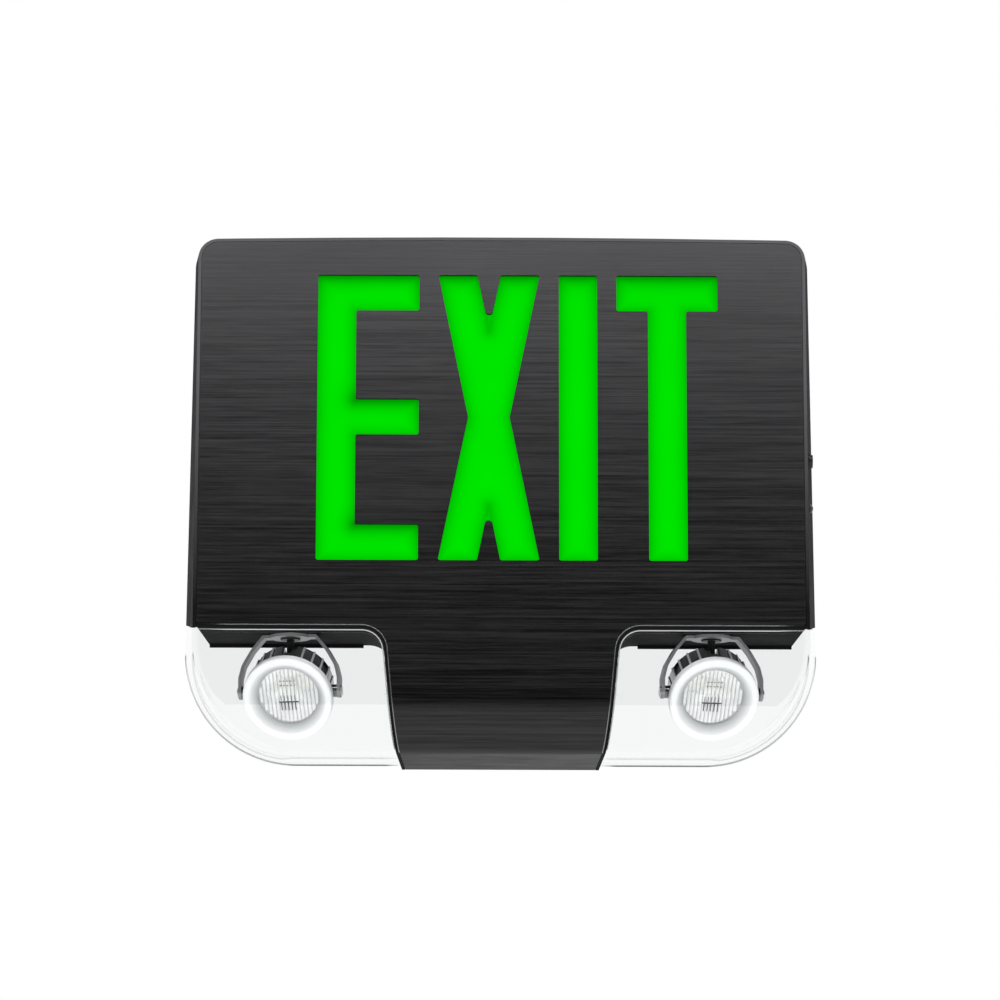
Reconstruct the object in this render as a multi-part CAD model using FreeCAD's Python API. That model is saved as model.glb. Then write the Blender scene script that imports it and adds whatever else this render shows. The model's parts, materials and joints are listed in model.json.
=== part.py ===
import FreeCAD, Part
import math
import os

V = FreeCAD.Vector

# Frame: the wall is the plane y = 0 and the sign faces -Y, with +Z up.
# The origin is the middle of the wiring box in the wall.
# "depth" is the distance out from the wall, so y = -depth.

# Face plate
FACE_WIDTH = 302.0
FACE_TOP_Z = 103.5
FACE_TOP_CROWN = 1.3
CROWN_SHARE = 0.85
FACE_TOP_DEPTH = 19.5
FACE_LEAN = 10.0
FACE_TOP_CORNER = 8.5
FACE_LOW_CORNER = 1.5
PLATE_THICKNESS = 1.5
PLATE_GAP = 0.2
BEND_RADIUS = 25.0
NECK_LENGTH = 64.7
FOOT_RISE = 4.0
FOOT_WALL_GAP = 0.5

# Neck between the lamp bays
NECK_HALF_WIDTH = 47.4
NECK_TAPER = 5.9
NECK_DRAFT = 3.5
NOTCH_RADIUS = 13.0

# Housing
RIM_WIDTH = 1.6
WALL = 2.5
LEDGE_WIDTH = 3.0
LEDGE_DEPTH = 3.0
BACK_WALL = 2.5
BACK_GAP = 0.1
BLIND_FLOOR = 1.0
SIDE_DRAFT = 5.5
TOP_DRAFT = 3.0
CEILING_INSET = 5.0
CEILING_FLARE = 4.5
CEILING_OVERLAP = 16.0
BACK_LIP = 1.4

# Cut legend
LETTER_HEIGHT = 152.4
STROKE = 19.2
LETTER_GAP = 9.7
LEGEND_SIDE = 50.65
LEGEND_SHIFT = 8.1
LEGEND_DROP = 18.7
LEGEND_FOOT = 30.8
LETTER_CORNER = 1.2
ARM_SHARE = 0.386
WAIST_SHARE = 0.41
CROTCH_RADIUS = 2.0

# Legend panel and light tray behind it
PANEL_MARGIN = 9.0
PANEL_THICKNESS = 2.5
TRAY_DEPTH = 8.5
TRAY_WALL = 1.5
TRAY_FLANGE = 5.0
LED_BOARD_HEIGHT = 10.0
LED_BOARD_THICKNESS = 1.2
LED_SIZE = 3.5
LED_THICKNESS = 1.4
LEDS_PER_BOARD = 12
LED_ROWS = (0.27, 0.73)
TRAY_POST_RADIUS = 3.5
TRAY_POST_INSET = 3.5

# Clear lamp covers
LENS_WALL = 2.0
LENS_SET_BACK = 1.8
LENS_EDGE = 4.5
LENS_GAP = 0.3
LENS_CORNER = 56.0
LENS_CREASE = 0.5
LENS_WALL_GAP = 0.5
HOOK_WIDTH = 6.0
HOOK_THICKNESS = 1.8
HOOK_SET_BACK = 8.0
HOOK_REACH = 4.4
HOOK_BARB = 0.9
HOOK_GAP = 0.3
HOOK_DROPS = (17.0, 30.0)

# Screws
SCREW_RADIUS = 1.5
SCREW_HEAD_RADIUS = 2.9
SCREW_HEAD_HEIGHT = 1.8
SCREW_GAP = 0.05
SCREW_LENGTH = 8.0
BOSS_RADIUS = 3.6
RECESS_WIDTH = 0.9
RECESS_DEPTH = 0.9

# Lamp heads
LAMP_INSET = 46.2
LAMP_DEPTH = 30.0
PIVOT_DROP = 28.2
LAMP_TILT = 36.0
LAMP_SWIVEL = 10.0
BEZEL_OVERHANG = 2.2
MOUTH_LIP = 3.5
OPENING_LIP = 5.1
BEZEL_FRONT = 9.0
BEZEL_REAR = 3.4
GLASS_FRONT = 4.4
GLASS_THICKNESS = 2.0
GLASS_SEAT_WALL = 4.0
GLASS_GAP = 0.1
FLUTE_PITCH = 1.6
FLUTE_DEPTH = 0.5
SHELL_CLEARANCE = 3.8
SHELL_WALL = 4.7
SHELL_REAR = -10.5
RIB_HEIGHT = 0.4
RIB_WIDTH = 1.0
RIB_COUNT = 24
REFLECTOR_WALL = 0.7
REFLECTOR_FLANGE = 0.8
REFLECTOR_BASE = 5.0
REFLECTOR_REAR = -8.0
CAP_REAR = -20.0
CAP_RADIUS = 7.5
CAP_WALL = 1.4
CHIP_RADIUS = 4.6
CHIP_THICKNESS = 1.4
CHIP_DOME = 2.2

# Yokes and their bushes
YOKE_THICKNESS = 1.5
YOKE_STRAP = 7.0
YOKE_PAD_RADIUS = 10.2
YOKE_TOP_HALF = 13.6
YOKE_ARM_HALF = 25.7
YOKE_END = 4.0
YOKE_GAP = 0.1
BUSH_RADIUS = 4.0
BUSH_BORE = 2.2
BUSH_FIT = 0.05
BUSH_LIP = 1.0
BUSH_LIP_HEIGHT = 0.8
BUSH_NUT_RADIUS = 7.0
BUSH_NUT_HEIGHT = 2.5
PIVOT_RADIUS = 1.5
PIVOT_BOSS = 3.2
RIVET_HEAD_RADIUS = 2.6
RIVET_HEAD_HEIGHT = 0.7

# Short leads from the bushes into the lamps
LEAD_RADIUS = 1.85
LEAD_TOP = 6.0
LEAD_BOTTOM = 11.3
LEAD_SLOT_GAP = 0.6
LEAD_SLOT_FRONT = -3.0
LEAD_SLOT_REAR = -15.0

# Wiring box in the wall
BOX_SPACING = 88.9
BOX_HOLE_RADIUS = 2.3
WIRE_HOLE_RADIUS = 12.0
WIRE_BUSH_BORE = 9.0
WIRE_BUSH_LIP = 1.5

# Electronics on the back plate
BOARD_WIDTH = 150.0
BOARD_HEIGHT = 48.0
BOARD_THICKNESS = 1.6
BOARD_Z = -61.0
BOARD_STANDOFF = 5.0
BOARD_HOLE_INSET = 4.0
TRANSFORMER_SIZE = (36.0, 20.0, 30.0)
TRANSFORMER_PLACE = -0.32
RELAY_SIZE = (20.0, 15.0, 12.0)
RELAY_PLACE = -0.053
CAPACITOR_RADIUS = 6.0
CAPACITOR_HEIGHT = 18.0
CAPACITOR_PLACE = 0.107
TERMINAL_SIZE = (24.0, 12.0, 12.0)
TERMINAL_PLACE = 0.347
TERMINAL_WAYS = 4
TERMINAL_HOLE = 1.5
FUSE_RADIUS = 3.0
FUSE_LENGTH = 20.0
FUSE_PLACE = 0.213

# Battery in the neck
CELL_RADIUS = 11.2
CELL_HEIGHT = 43.0
CELL_COUNT = 3
BATTERY_RAISE = 13.1
STRAP_THICKNESS = 0.8
STRAP_WIDTH = 14.0
STRAP_EAR = 9.0
STRAP_SEAT = 8.0
STRAP_GAP = 0.1

# Test switch and charge light in the right side wall
SWITCH_Z = -10.0
SWITCH_DEPTH = 24.0
SWITCH_PAD_INSET = 2.5
SWITCH_PAD_RADIUS = 9.0
SWITCH_NECK_RADIUS = 4.6
SWITCH_BODY = 13.0
BUTTON_RADIUS = 3.4
BUTTON_GAP = 0.05
BUTTON_PROUD = 1.3
BUTTON_LENGTH = 12.0
BUTTON_TRAVEL = 1.2
SWITCH_FLOOR = 2.0
INDICATOR_DROP = 24.0
INDICATOR_RADIUS = 2.5
INDICATOR_FLANGE = 3.2
INDICATOR_PAD_RADIUS = 5.5

# Sizes that follow from the ones above
LEAN_TAN = math.tan(math.radians(FACE_LEAN))
LEAN_COS = math.cos(math.radians(FACE_LEAN))
FOOT_TAN = math.tan(math.radians(FOOT_RISE))
FOOT_COS = math.cos(math.radians(FOOT_RISE))
RIM = RIM_WIDTH + PLATE_GAP
FACE_NOTCH_Z = FACE_TOP_Z - LEGEND_DROP - LETTER_HEIGHT - LEGEND_FOOT
FOOT_Z = FACE_NOTCH_Z - NECK_LENGTH
CEILING_Z = FACE_NOTCH_Z - RIM
CEILING_HALF_REAR = FACE_WIDTH / 2 - CEILING_INSET
PIVOT_Z = CEILING_Z - PIVOT_DROP
FRONT_REACH = FACE_TOP_DEPTH + (FACE_TOP_Z - FOOT_Z) * LEAN_TAN + BEND_RADIUS
SPAN = FACE_WIDTH  # reaches past the middle of the sign to beyond either side
LEGEND_WIDTH = FACE_WIDTH - 2 * LEGEND_SIDE
LETTER_WIDTH = (LEGEND_WIDTH - STROKE - 3 * LETTER_GAP) / 3
ARM_WIDTH = ARM_SHARE * LETTER_WIDTH
WAIST_WIDTH = WAIST_SHARE * LETTER_WIDTH
HOOK_HEIGHTS = [CEILING_Z - drop for drop in HOOK_DROPS]
PANEL_W = PLATE_THICKNESS + PANEL_THICKNESS
TRAY_W = PANEL_W + TRAY_DEPTH
LAMP_X = FACE_WIDTH / 2 - LAMP_INSET
SHELL_RADIUS = YOKE_ARM_HALF - YOKE_THICKNESS - SHELL_CLEARANCE
SHELL_BORE = SHELL_RADIUS - SHELL_WALL
GLASS_SEAT = SHELL_RADIUS - GLASS_SEAT_WALL
GLASS_OPENING = SHELL_RADIUS - OPENING_LIP
BEZEL_RADIUS = SHELL_RADIUS + BEZEL_OVERHANG
MOUTH_RADIUS = BEZEL_RADIUS - MOUTH_LIP
TERMINAL_X = TERMINAL_PLACE * BOARD_WIDTH
FUSE_X = FUSE_PLACE * BOARD_WIDTH
BATTERY_Z = FOOT_Z + BATTERY_RAISE
SWITCH_PAD_X = FACE_WIDTH / 2 - SWITCH_PAD_INSET
SIDES = (("left", -1), ("right", 1))


def face_depth(z):
    """How far the outer face of the plate stands out from the wall at height z."""
    return FACE_TOP_DEPTH + (FACE_TOP_Z - z) * LEAN_TAN


def side_half(z, depth, inset):
    """Half width of the drafted housing at height z and a distance out from the wall."""
    flare = (face_depth(z) - depth) * math.tan(math.radians(SIDE_DRAFT))
    return FACE_WIDTH / 2 + RIM + flare - inset


def neck_half(z, depth, inset):
    """Half width of the neck, which narrows downwards and towards the wall."""
    taper = (z - FOOT_Z) * math.tan(math.radians(NECK_TAPER))
    draft = depth * math.tan(math.radians(NECK_DRAFT))
    return NECK_HALF_WIDTH + RIM + taper + draft - inset


def foot_z(depth, inset):
    """Height of the underside, which falls towards the wall."""
    return FOOT_Z + inset / FOOT_COS + depth * FOOT_TAN


def unit(vector):
    return vector * (1.0 / vector.Length)


def rounded_wire(corners, place):
    """Closed wire through (a, b, radius) corners, each rounded by a tangent arc."""
    flat = [V(a, b, 0) for a, b, radius in corners]
    arcs = []
    for i, (a, b, radius) in enumerate(corners):
        here = flat[i]
        back = unit(flat[i - 1] - here)
        ahead = unit(flat[(i + 1) % len(flat)] - here)
        if radius <= 0:
            arcs.append((here, here, here))
            continue
        half = back.getAngle(ahead) / 2
        reach = radius / math.tan(half)
        middle = unit(back + ahead) * (radius / math.sin(half) - radius)
        arcs.append((here + back * reach, here + middle, here + ahead * reach))
    edges = []
    for i, (start, middle, end) in enumerate(arcs):
        before = arcs[i - 1][2]
        edges.append(Part.LineSegment(place(before), place(start)).toShape())
        if not start.isEqual(end, 1e-9):
            edges.append(Part.Arc(place(start), place(middle), place(end)).toShape())
    return Part.Wire(edges)


def front_wire(corners, depth):
    """Outline in the front view, at one distance out from the wall."""
    return rounded_wire(corners, lambda p: V(p.x, -depth, p.y))


def drafted(corners_at):
    """Solid between an outline on the wall and the same outline in front of the sign."""
    wires = [front_wire(corners_at(depth), depth) for depth in (0.0, FRONT_REACH)]
    return Part.makeLoft(wires, True, True)


def extruded(corners, place, direction):
    return Part.Face(rounded_wire(corners, place)).extrude(direction)


def block(x0, x1, depth0, depth1, z0, z1):
    return Part.makeBox(x1 - x0, depth1 - depth0, z1 - z0, V(x0, -depth1, z0))


def pin(radius, start, end):
    axis = end - start
    return Part.makeCylinder(radius, axis.Length, start, axis)


def fused(shapes):
    return shapes[0].multiFuse(shapes[1:]).removeSplitter()


def mirrored(shape):
    return shape.mirror(V(0, 0, 0), V(1, 0, 0))


def screw(head, axis, length):
    """Pan-head screw with a cross recess; head is the seat under the head."""
    along = unit(axis)
    top = head - along * SCREW_HEAD_HEIGHT
    body = Part.makeCylinder(SCREW_HEAD_RADIUS, SCREW_HEAD_HEIGHT, top, along)
    rounding = [e for e in body.Edges if (e.CenterOfMass - top).Length < 1e-6]
    body = body.makeFillet(SCREW_HEAD_HEIGHT * 0.45, rounding)
    body = body.fuse(Part.makeCylinder(SCREW_RADIUS, length, head, along))
    turn = FreeCAD.Rotation(V(0, 0, 1), along)
    for width, height in ((1, 3.6), (3.6, 1)):
        slot = Part.makeBox(RECESS_WIDTH * width, RECESS_WIDTH * height, RECESS_DEPTH)
        slot.translate(V(-RECESS_WIDTH * width / 2, -RECESS_WIDTH * height / 2, 0))
        slot.Placement = FreeCAD.Placement(top, turn) * slot.Placement
        body = body.cut(slot)
    return body


def on_face(shape):
    """Turns a shape drawn upright (z down the plate, y into the sign) onto the leaning face."""
    shape.rotate(V(0, 0, 0), V(1, 0, 0), -FACE_LEAN)
    shape.translate(V(0, -FACE_TOP_DEPTH, FACE_TOP_Z))
    return shape


def face_block(x0, x1, into0, into1, down0, down1):
    """Block given by its distances into the sign and down the plate from the top edge."""
    return on_face(Part.makeBox(x1 - x0, into1 - into0, down1 - down0, V(x0, into0, -down1)))


def side_profile(inset):
    """Everything behind the leaning face, the bend and the underside."""
    def line(z):
        return face_depth(z) - inset / LEAN_COS

    foot = foot_z(0, inset)
    corner = line(foot) / (1 + FOOT_TAN * LEAN_TAN)
    top = FACE_TOP_Z + BEND_RADIUS
    corners = [
        (0, foot, 0),
        (corner, foot + corner * FOOT_TAN, BEND_RADIUS - inset),
        (line(top), top, 0),
        (0, top, 0),
    ]
    return extruded(corners, lambda p: V(-SPAN, -p.x, p.y), V(2 * SPAN, 0, 0))


def top_z(depth, inset):
    draft = (FACE_TOP_DEPTH - depth) * math.tan(math.radians(TOP_DRAFT))
    return FACE_TOP_Z + RIM + draft - inset


def skirt_z(depth, inset):
    """Lower edge of the side walls, square to the leaning face."""
    return CEILING_Z + (face_depth(CEILING_Z) - depth) * LEAN_TAN + inset


def crown(half, top):
    """Middle corner of a top edge that is a shallow arch, high in the middle."""
    rise = FACE_TOP_CROWN / (1 - CROWN_SHARE / 2)
    radius = CROWN_SHARE * half * half / rise
    return (0, top - FACE_TOP_CROWN + rise, radius)


def upper_box(inset):
    """Drafted box behind the wide part of the face."""
    def corners(depth):
        top = top_z(depth, inset)
        ends = top - FACE_TOP_CROWN
        low = skirt_z(depth, inset)
        flare = (FACE_TOP_DEPTH - depth) * math.tan(math.radians(SIDE_DRAFT))
        radius = FACE_TOP_CORNER + RIM + flare - inset
        half = side_half(ends, depth, inset)
        return [
            (-half, ends, radius),
            crown(half, top),
            (half, ends, radius),
            (side_half(low, depth, inset), low, 0),
            (-side_half(low, depth, inset), low, 0),
        ]
    return drafted(corners)


def tee(half, top, notch, radius, top_radius, low_radius, depth, inset):
    """T outline: a wide bar over the neck, with rounded inner corners."""
    low = FOOT_Z - BEND_RADIUS
    right = [
        (half(top, depth), top, top_radius),
        (half(notch, depth), notch, low_radius),
        (neck_half(notch, depth, inset), notch, radius),
        (neck_half(low, depth, inset), low, 0),
    ]
    left = [(-a, b, r) for a, b, r in reversed(right)]
    return right + left


def ceiling_box(inset):
    """Lower part of the housing: the flat ceilings of the lamp bays and the neck."""
    def half(z, depth):
        return CEILING_HALF_REAR + depth * math.tan(math.radians(CEILING_FLARE)) - inset

    def corners(depth):
        top = skirt_z(0, 0) + CEILING_OVERLAP - inset
        radius = NOTCH_RADIUS - RIM + inset
        return tee(half, top, CEILING_Z + inset, radius, 0, 0, depth, inset)
    return drafted(corners)


def plate_prism(inset):
    """T-shaped prism of the face plate's outline, grown or shrunk from the housing's rim."""
    def half(z, depth):
        return side_half(z, depth, inset)

    def corners(depth):
        top = FACE_TOP_Z + RIM - inset
        ends = top - FACE_TOP_CROWN
        radius = NOTCH_RADIUS - RIM + inset
        round_top = FACE_TOP_CORNER + RIM - inset
        outline = tee(half, ends, CEILING_Z + inset, radius, round_top, FACE_LOW_CORNER, depth, inset)
        return [crown(half(ends, depth), top)] + outline
    return drafted(corners)


def letter_shapes():
    """The four letters as outlines across and down the plate, left to right."""
    w = LETTER_WIDTH
    h = LETTER_HEIGHT
    s = STROKE
    c = LETTER_CORNER
    mid = (h - s) / 2
    notch = w / 2 - ARM_WIDTH
    waist = WAIST_WIDTH / 2
    lean = (w / 2 - waist) / (h / 2)
    crotch = notch / lean
    bar = [(0, 0), (w, 0), (w, s), (s, s), (s, mid), (w, mid), (w, mid + s), (s, mid + s),
           (s, h - s), (w, h - s), (w, h), (0, h)]
    letter_e = [(a, b, c) for a, b in bar]
    m = w / 2
    half = [(m - notch, 0, c), (m, crotch, CROTCH_RADIUS), (m + notch, 0, c), (w, 0, c),
            (m + waist, h / 2, c)]
    other = [(w - a, h - b, r) for a, b, r in half]
    letter_x = half + [(w, h, c)] + other[:3] + [(0, h, c), (m - waist, h / 2, c), (0, 0, c)]
    letter_i = [(0, 0, c), (s, 0, c), (s, h, c), (0, h, c)]
    t0 = (w - s) / 2
    stem = [(0, 0), (w, 0), (w, s), (t0 + s, s), (t0 + s, h), (t0, h), (t0, s), (0, s)]
    letter_t = [(a, b, c) for a, b in stem]
    return [(letter_e, w), (letter_x, w), (letter_i, s), (letter_t, w)]


def legend_cutter():
    """Prisms of the four letters, square to the plate."""
    x = LEGEND_SHIFT - LEGEND_WIDTH / 2
    prisms = []
    for corners, width in letter_shapes():
        placed = [(x + a, -LEGEND_DROP - b, r) for a, b, r in corners]
        prism = extruded(placed, lambda p: V(p.x, -PLATE_THICKNESS, p.y), V(0, 3 * PLATE_THICKNESS, 0))
        prisms.append(on_face(prism))
        x += width + LETTER_GAP
    return prisms


def panel_box():
    """Edges of the legend panel: left, right, top and bottom on the plate."""
    left = LEGEND_SHIFT - LEGEND_WIDTH / 2 - PANEL_MARGIN
    right = LEGEND_SHIFT + LEGEND_WIDTH / 2 + PANEL_MARGIN
    return left, right, LEGEND_DROP - PANEL_MARGIN, LEGEND_DROP + LETTER_HEIGHT + PANEL_MARGIN


def face_plate():
    prism = plate_prism(RIM)
    plate = prism.common(side_profile(0)).cut(side_profile(PLATE_THICKNESS))
    plate = plate.cut(block(-SPAN, SPAN, -1, FOOT_WALL_GAP, FOOT_Z - WALL, CEILING_Z))
    return plate.cut(legend_cutter())


def tray_posts():
    """Screw places at the corners of the tray, as distances across and down the plate."""
    left, right, top, bottom = panel_box()
    xs = (left - TRAY_POST_INSET, right + TRAY_POST_INSET)
    downs = (top + TRAY_POST_RADIUS, bottom - TRAY_POST_RADIUS)
    return [(x, down) for x in xs for down in downs]


def into_sign(x, into, down):
    """Point at a distance into the sign and down the plate."""
    point = FreeCAD.Rotation(V(1, 0, 0), -FACE_LEAN).multVec(V(x, into, -down))
    return point + V(0, -FACE_TOP_DEPTH, FACE_TOP_Z)


def board_holes():
    """Screw places on the control board."""
    dx = BOARD_WIDTH / 2 - BOARD_HOLE_INSET
    dz = BOARD_HEIGHT / 2 - BOARD_HOLE_INSET
    return [(x, BOARD_Z + z) for x in (-dx, dx) for z in (-dz, dz)]


def neck_hook(z, grow):
    """Prong of the right lens through the neck's side wall, with a barb inside; grown, it is the slot."""
    depth = face_depth(z) - HOOK_SET_BACK
    face = neck_half(z, depth, 0)
    tip = face - HOOK_REACH
    low = depth - HOOK_THICKNESS / 2 - grow
    high = depth + HOOK_THICKNESS / 2 + grow
    half = HOOK_WIDTH / 2 + grow
    prong = block(tip, face + LENS_GAP + HOOK_THICKNESS, low, high, z - half, z + half)
    barb = block(tip, tip + HOOK_BARB, low - HOOK_BARB, high, z - half, z + half)
    return prong.fuse(barb)


def hook_arm(z):
    """Arm from the front of the right lens back to the prong."""
    depth = face_depth(z) - HOOK_SET_BACK
    front = face_depth(z) - LENS_SET_BACK - LENS_WALL / 2
    near = neck_half(z, front, 0) + LENS_GAP
    half = HOOK_WIDTH / 2
    return block(near, near + HOOK_THICKNESS, depth - HOOK_THICKNESS / 2, front, z - half, z + half)


def strap_ears():
    """Screw places at the ends of the battery strap."""
    x = CELL_RADIUS * CELL_COUNT + STRAP_THICKNESS + STRAP_GAP + STRAP_EAR / 2
    z = BATTERY_Z + CELL_HEIGHT / 2
    return [(-x, z), (x, z)]


def shell_body():
    """T-shaped frame, open at the back and in front of the wide part, with a rebate for the plate."""
    shell = fused([upper_box(0), ceiling_box(0)])
    hollow = fused([upper_box(WALL), ceiling_box(WALL)])
    deep = hollow.common(side_profile(PLATE_THICKNESS + LEDGE_DEPTH))
    ledge = RIM_WIDTH + LEDGE_WIDTH
    mouth = fused([upper_box(ledge), ceiling_box(ledge)])
    open_front = block(-SPAN, SPAN, 0, FRONT_REACH, CEILING_Z, FACE_TOP_Z + BEND_RADIUS)
    room = side_profile(PLATE_THICKNESS + WALL).fuse(open_front)
    cavity = fused([deep, mouth]).common(room)
    rebate = plate_prism(RIM_WIDTH).cut(side_profile(PLATE_THICKNESS))
    return shell.cut(cavity).common(side_profile(0)).cut(rebate)


def back_lips():
    """Flange at the back of each lamp bay, just below its ceiling."""
    start = neck_half(CEILING_Z, 0, 0) + NOTCH_RADIUS
    lip = block(start, CEILING_HALF_REAR, 0, BACK_WALL, CEILING_Z - BACK_LIP, CEILING_Z + WALL)
    return [lip, mirrored(lip)]


def tray_bosses():
    """Posts from the back plate to the corners of the light tray, and their screw holes."""
    bosses = []
    holes = []
    behind = face_block(-SPAN, SPAN, -FRONT_REACH, TRAY_W, -SPAN, SPAN)
    for x, down in tray_posts():
        seat = into_sign(x, TRAY_W, down)
        inward = into_sign(x, TRAY_W + 1, down) - seat
        bosses.append(wall_post(x, seat.z, -seat.y + BOSS_RADIUS).cut(behind))
        holes.append(screw_hole(seat - inward, seat + inward * SCREW_LENGTH))
    return bosses, holes


def wall_post(x, z, out):
    """Round post that stands on the back plate and ends at a distance from the wall."""
    return pin(BOSS_RADIUS, V(x, -BACK_WALL / 2, z), V(x, -out, z))


def screw_hole(start, end):
    return pin(SCREW_RADIUS + SCREW_GAP, start, end)


def wall_bosses():
    """Posts for the control board and the battery strap, and their screw holes."""
    board = BACK_WALL + BOARD_STANDOFF
    strap = BACK_WALL + STRAP_SEAT
    places = [(x, z, board) for x, z in board_holes()] + [(x, z, strap) for x, z in strap_ears()]
    bosses = [wall_post(x, z, out) for x, z, out in places]
    holes = [screw_hole(V(x, -out - 1, z), V(x, -BLIND_FLOOR, z)) for x, z, out in places]
    return bosses, holes


def bay_holes():
    """Holes for the swivel bushes and slots for the hooks of the lenses."""
    holes = []
    for side in (-1, 1):
        bush = V(side * LAMP_X, -LAMP_DEPTH, CEILING_Z)
        holes.append(pin(BUSH_RADIUS + BUSH_FIT, bush - V(0, 0, WALL), bush + V(0, 0, 2 * WALL)))
    for z in HOOK_HEIGHTS:
        slot = neck_hook(z, HOOK_GAP)
        holes += [slot, mirrored(slot)]
    return holes


def switch_pads():
    """Flat pads inside the right wall for the test switch and the charge light, and their holes."""
    pads = []
    holes = []
    for z, pad, hole in switch_places():
        start = V(SWITCH_PAD_X, -SWITCH_DEPTH, z)
        end = V(SPAN, -SWITCH_DEPTH, z)
        pads.append(pin(pad, start, end).common(upper_box(WALL / 2)))
        holes.append(pin(hole, start - V(1, 0, 0), end))
    return pads, holes


def wall_holes():
    """Screw holes to the wiring box and the wire hole in the middle."""
    holes = [pin(WIRE_HOLE_RADIUS, V(0, 1, 0), V(0, -2 * BACK_WALL, 0))]
    for x in (-BOX_SPACING / 2, BOX_SPACING / 2):
        for z in (-BOX_SPACING / 2, BOX_SPACING / 2):
            holes.append(pin(BOX_HOLE_RADIUS, V(x, 1, z), V(x, -2 * BACK_WALL, z)))
    return holes


def housing():
    pads, holes = switch_pads()
    return shell_body().multiFuse(back_lips() + pads).cut(bay_holes() + holes).removeSplitter()


def back_plate():
    """Plate that screws to the wiring box, fills the back of the frame and carries the insides."""
    inset = WALL + BACK_GAP
    slab = block(-SPAN, SPAN, 0, BACK_WALL, 2 * FOOT_Z, FACE_TOP_Z + BEND_RADIUS)
    outline = fused([upper_box(inset), ceiling_box(inset)])
    plate = outline.common(slab).common(side_profile(PLATE_THICKNESS + inset))
    tray_pins, tray_holes = tray_bosses()
    posts, post_holes = wall_bosses()
    return plate.multiFuse(tray_pins + posts).cut(wall_holes() + tray_holes + post_holes).removeSplitter()


def switch_places():
    """Height, pad radius and hole radius of the test switch and the charge light."""
    return [
        (SWITCH_Z, SWITCH_PAD_RADIUS, SWITCH_NECK_RADIUS + SCREW_GAP),
        (SWITCH_Z - INDICATOR_DROP, INDICATOR_PAD_RADIUS, INDICATOR_RADIUS + SCREW_GAP),
    ]


def legend_panel():
    left, right, top, bottom = panel_box()
    return face_block(left, right, PLATE_THICKNESS, PANEL_W, top, bottom)


def light_tray():
    """White tray with its back wall to the rear and a flange that the panel lies on."""
    left, right, top, bottom = panel_box()
    f = TRAY_FLANGE + TRAY_POST_INSET
    outer = face_block(left, right, PANEL_W, TRAY_W, top, bottom)
    ears = face_block(left - f, right + f, TRAY_W - TRAY_WALL, TRAY_W, top, bottom)
    hollow = face_block(left + TRAY_WALL, right - TRAY_WALL, 0, TRAY_W - TRAY_WALL,
                        top + TRAY_WALL, bottom - TRAY_WALL)
    tray = fused([outer, ears]).cut(hollow)
    for x, down in tray_posts():
        start = into_sign(x, TRAY_W - TRAY_WALL * 2, down)
        tray = tray.cut(pin(SCREW_RADIUS + SCREW_GAP, start, into_sign(x, TRAY_W + 1, down)))
    return tray


def led_rows():
    """Distance down the plate of the middle of each LED board."""
    top, bottom = panel_box()[2:]
    return [top + share * (bottom - top) for share in LED_ROWS]


def led_board(down):
    left, right = panel_box()[:2]
    seat = TRAY_W - TRAY_WALL
    return face_block(left + 2 * TRAY_WALL, right - 2 * TRAY_WALL, seat - LED_BOARD_THICKNESS, seat,
                      down - LED_BOARD_HEIGHT / 2, down + LED_BOARD_HEIGHT / 2)


def legend_leds():
    left, right = panel_box()[:2]
    seat = TRAY_W - TRAY_WALL - LED_BOARD_THICKNESS
    pitch = (right - left) / LEDS_PER_BOARD
    leds = []
    for down in led_rows():
        for i in range(LEDS_PER_BOARD):
            x = left + (i + 0.5) * pitch
            leds.append(face_block(x - LED_SIZE / 2, x + LED_SIZE / 2, seat - LED_THICKNESS, seat,
                                   down - LED_SIZE / 2, down + LED_SIZE / 2))
    return Part.makeCompound(leds)


def tray_screws():
    screws = []
    for x, down in tray_posts():
        seat = into_sign(x, TRAY_W - TRAY_WALL, down)
        screws.append(screw(seat, into_sign(x, TRAY_W, down) - seat, SCREW_LENGTH))
    return Part.makeCompound(screws)


def control_board():
    back = BACK_WALL + BOARD_STANDOFF
    board = block(-BOARD_WIDTH / 2, BOARD_WIDTH / 2, back, back + BOARD_THICKNESS,
                  BOARD_Z - BOARD_HEIGHT / 2, BOARD_Z + BOARD_HEIGHT / 2)
    for x, z in board_holes():
        board = board.cut(pin(SCREW_RADIUS + SCREW_GAP, V(x, 0, z), V(x, -back * 2, z)))
    return board


def board_face():
    return BACK_WALL + BOARD_STANDOFF + BOARD_THICKNESS


def board_screws():
    face = board_face()
    length = BOARD_STANDOFF + BOARD_THICKNESS - SCREW_GAP
    return Part.makeCompound([screw(V(x, -face, z), V(0, 1, 0), length) for x, z in board_holes()])


def on_board(size, x):
    """Block of (width, out from the board, height) standing on the control board."""
    width, out, height = size
    face = board_face()
    return block(x - width / 2, x + width / 2, face, face + out, BOARD_Z - height / 2, BOARD_Z + height / 2)


def transformer():
    """Laminated core with a winding that stands proud of it at both ends."""
    width, out, height = TRANSFORMER_SIZE
    x = TRANSFORMER_PLACE * BOARD_WIDTH
    core = on_board((width, out, height * 0.55), x)
    winding = on_board((width * 0.62, out * 0.85, height), x)
    return fused([core, winding])


def relay():
    return on_board(RELAY_SIZE, RELAY_PLACE * BOARD_WIDTH)


def capacitor():
    face = board_face()
    start = V(CAPACITOR_PLACE * BOARD_WIDTH, -face, BOARD_Z)
    can = pin(CAPACITOR_RADIUS, start, start - V(0, CAPACITOR_HEIGHT, 0))
    crimp = Part.makeTorus(CAPACITOR_RADIUS + 0.3, 0.8, start - V(0, 2.5, 0), V(0, 1, 0))
    return can.cut(crimp)


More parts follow.
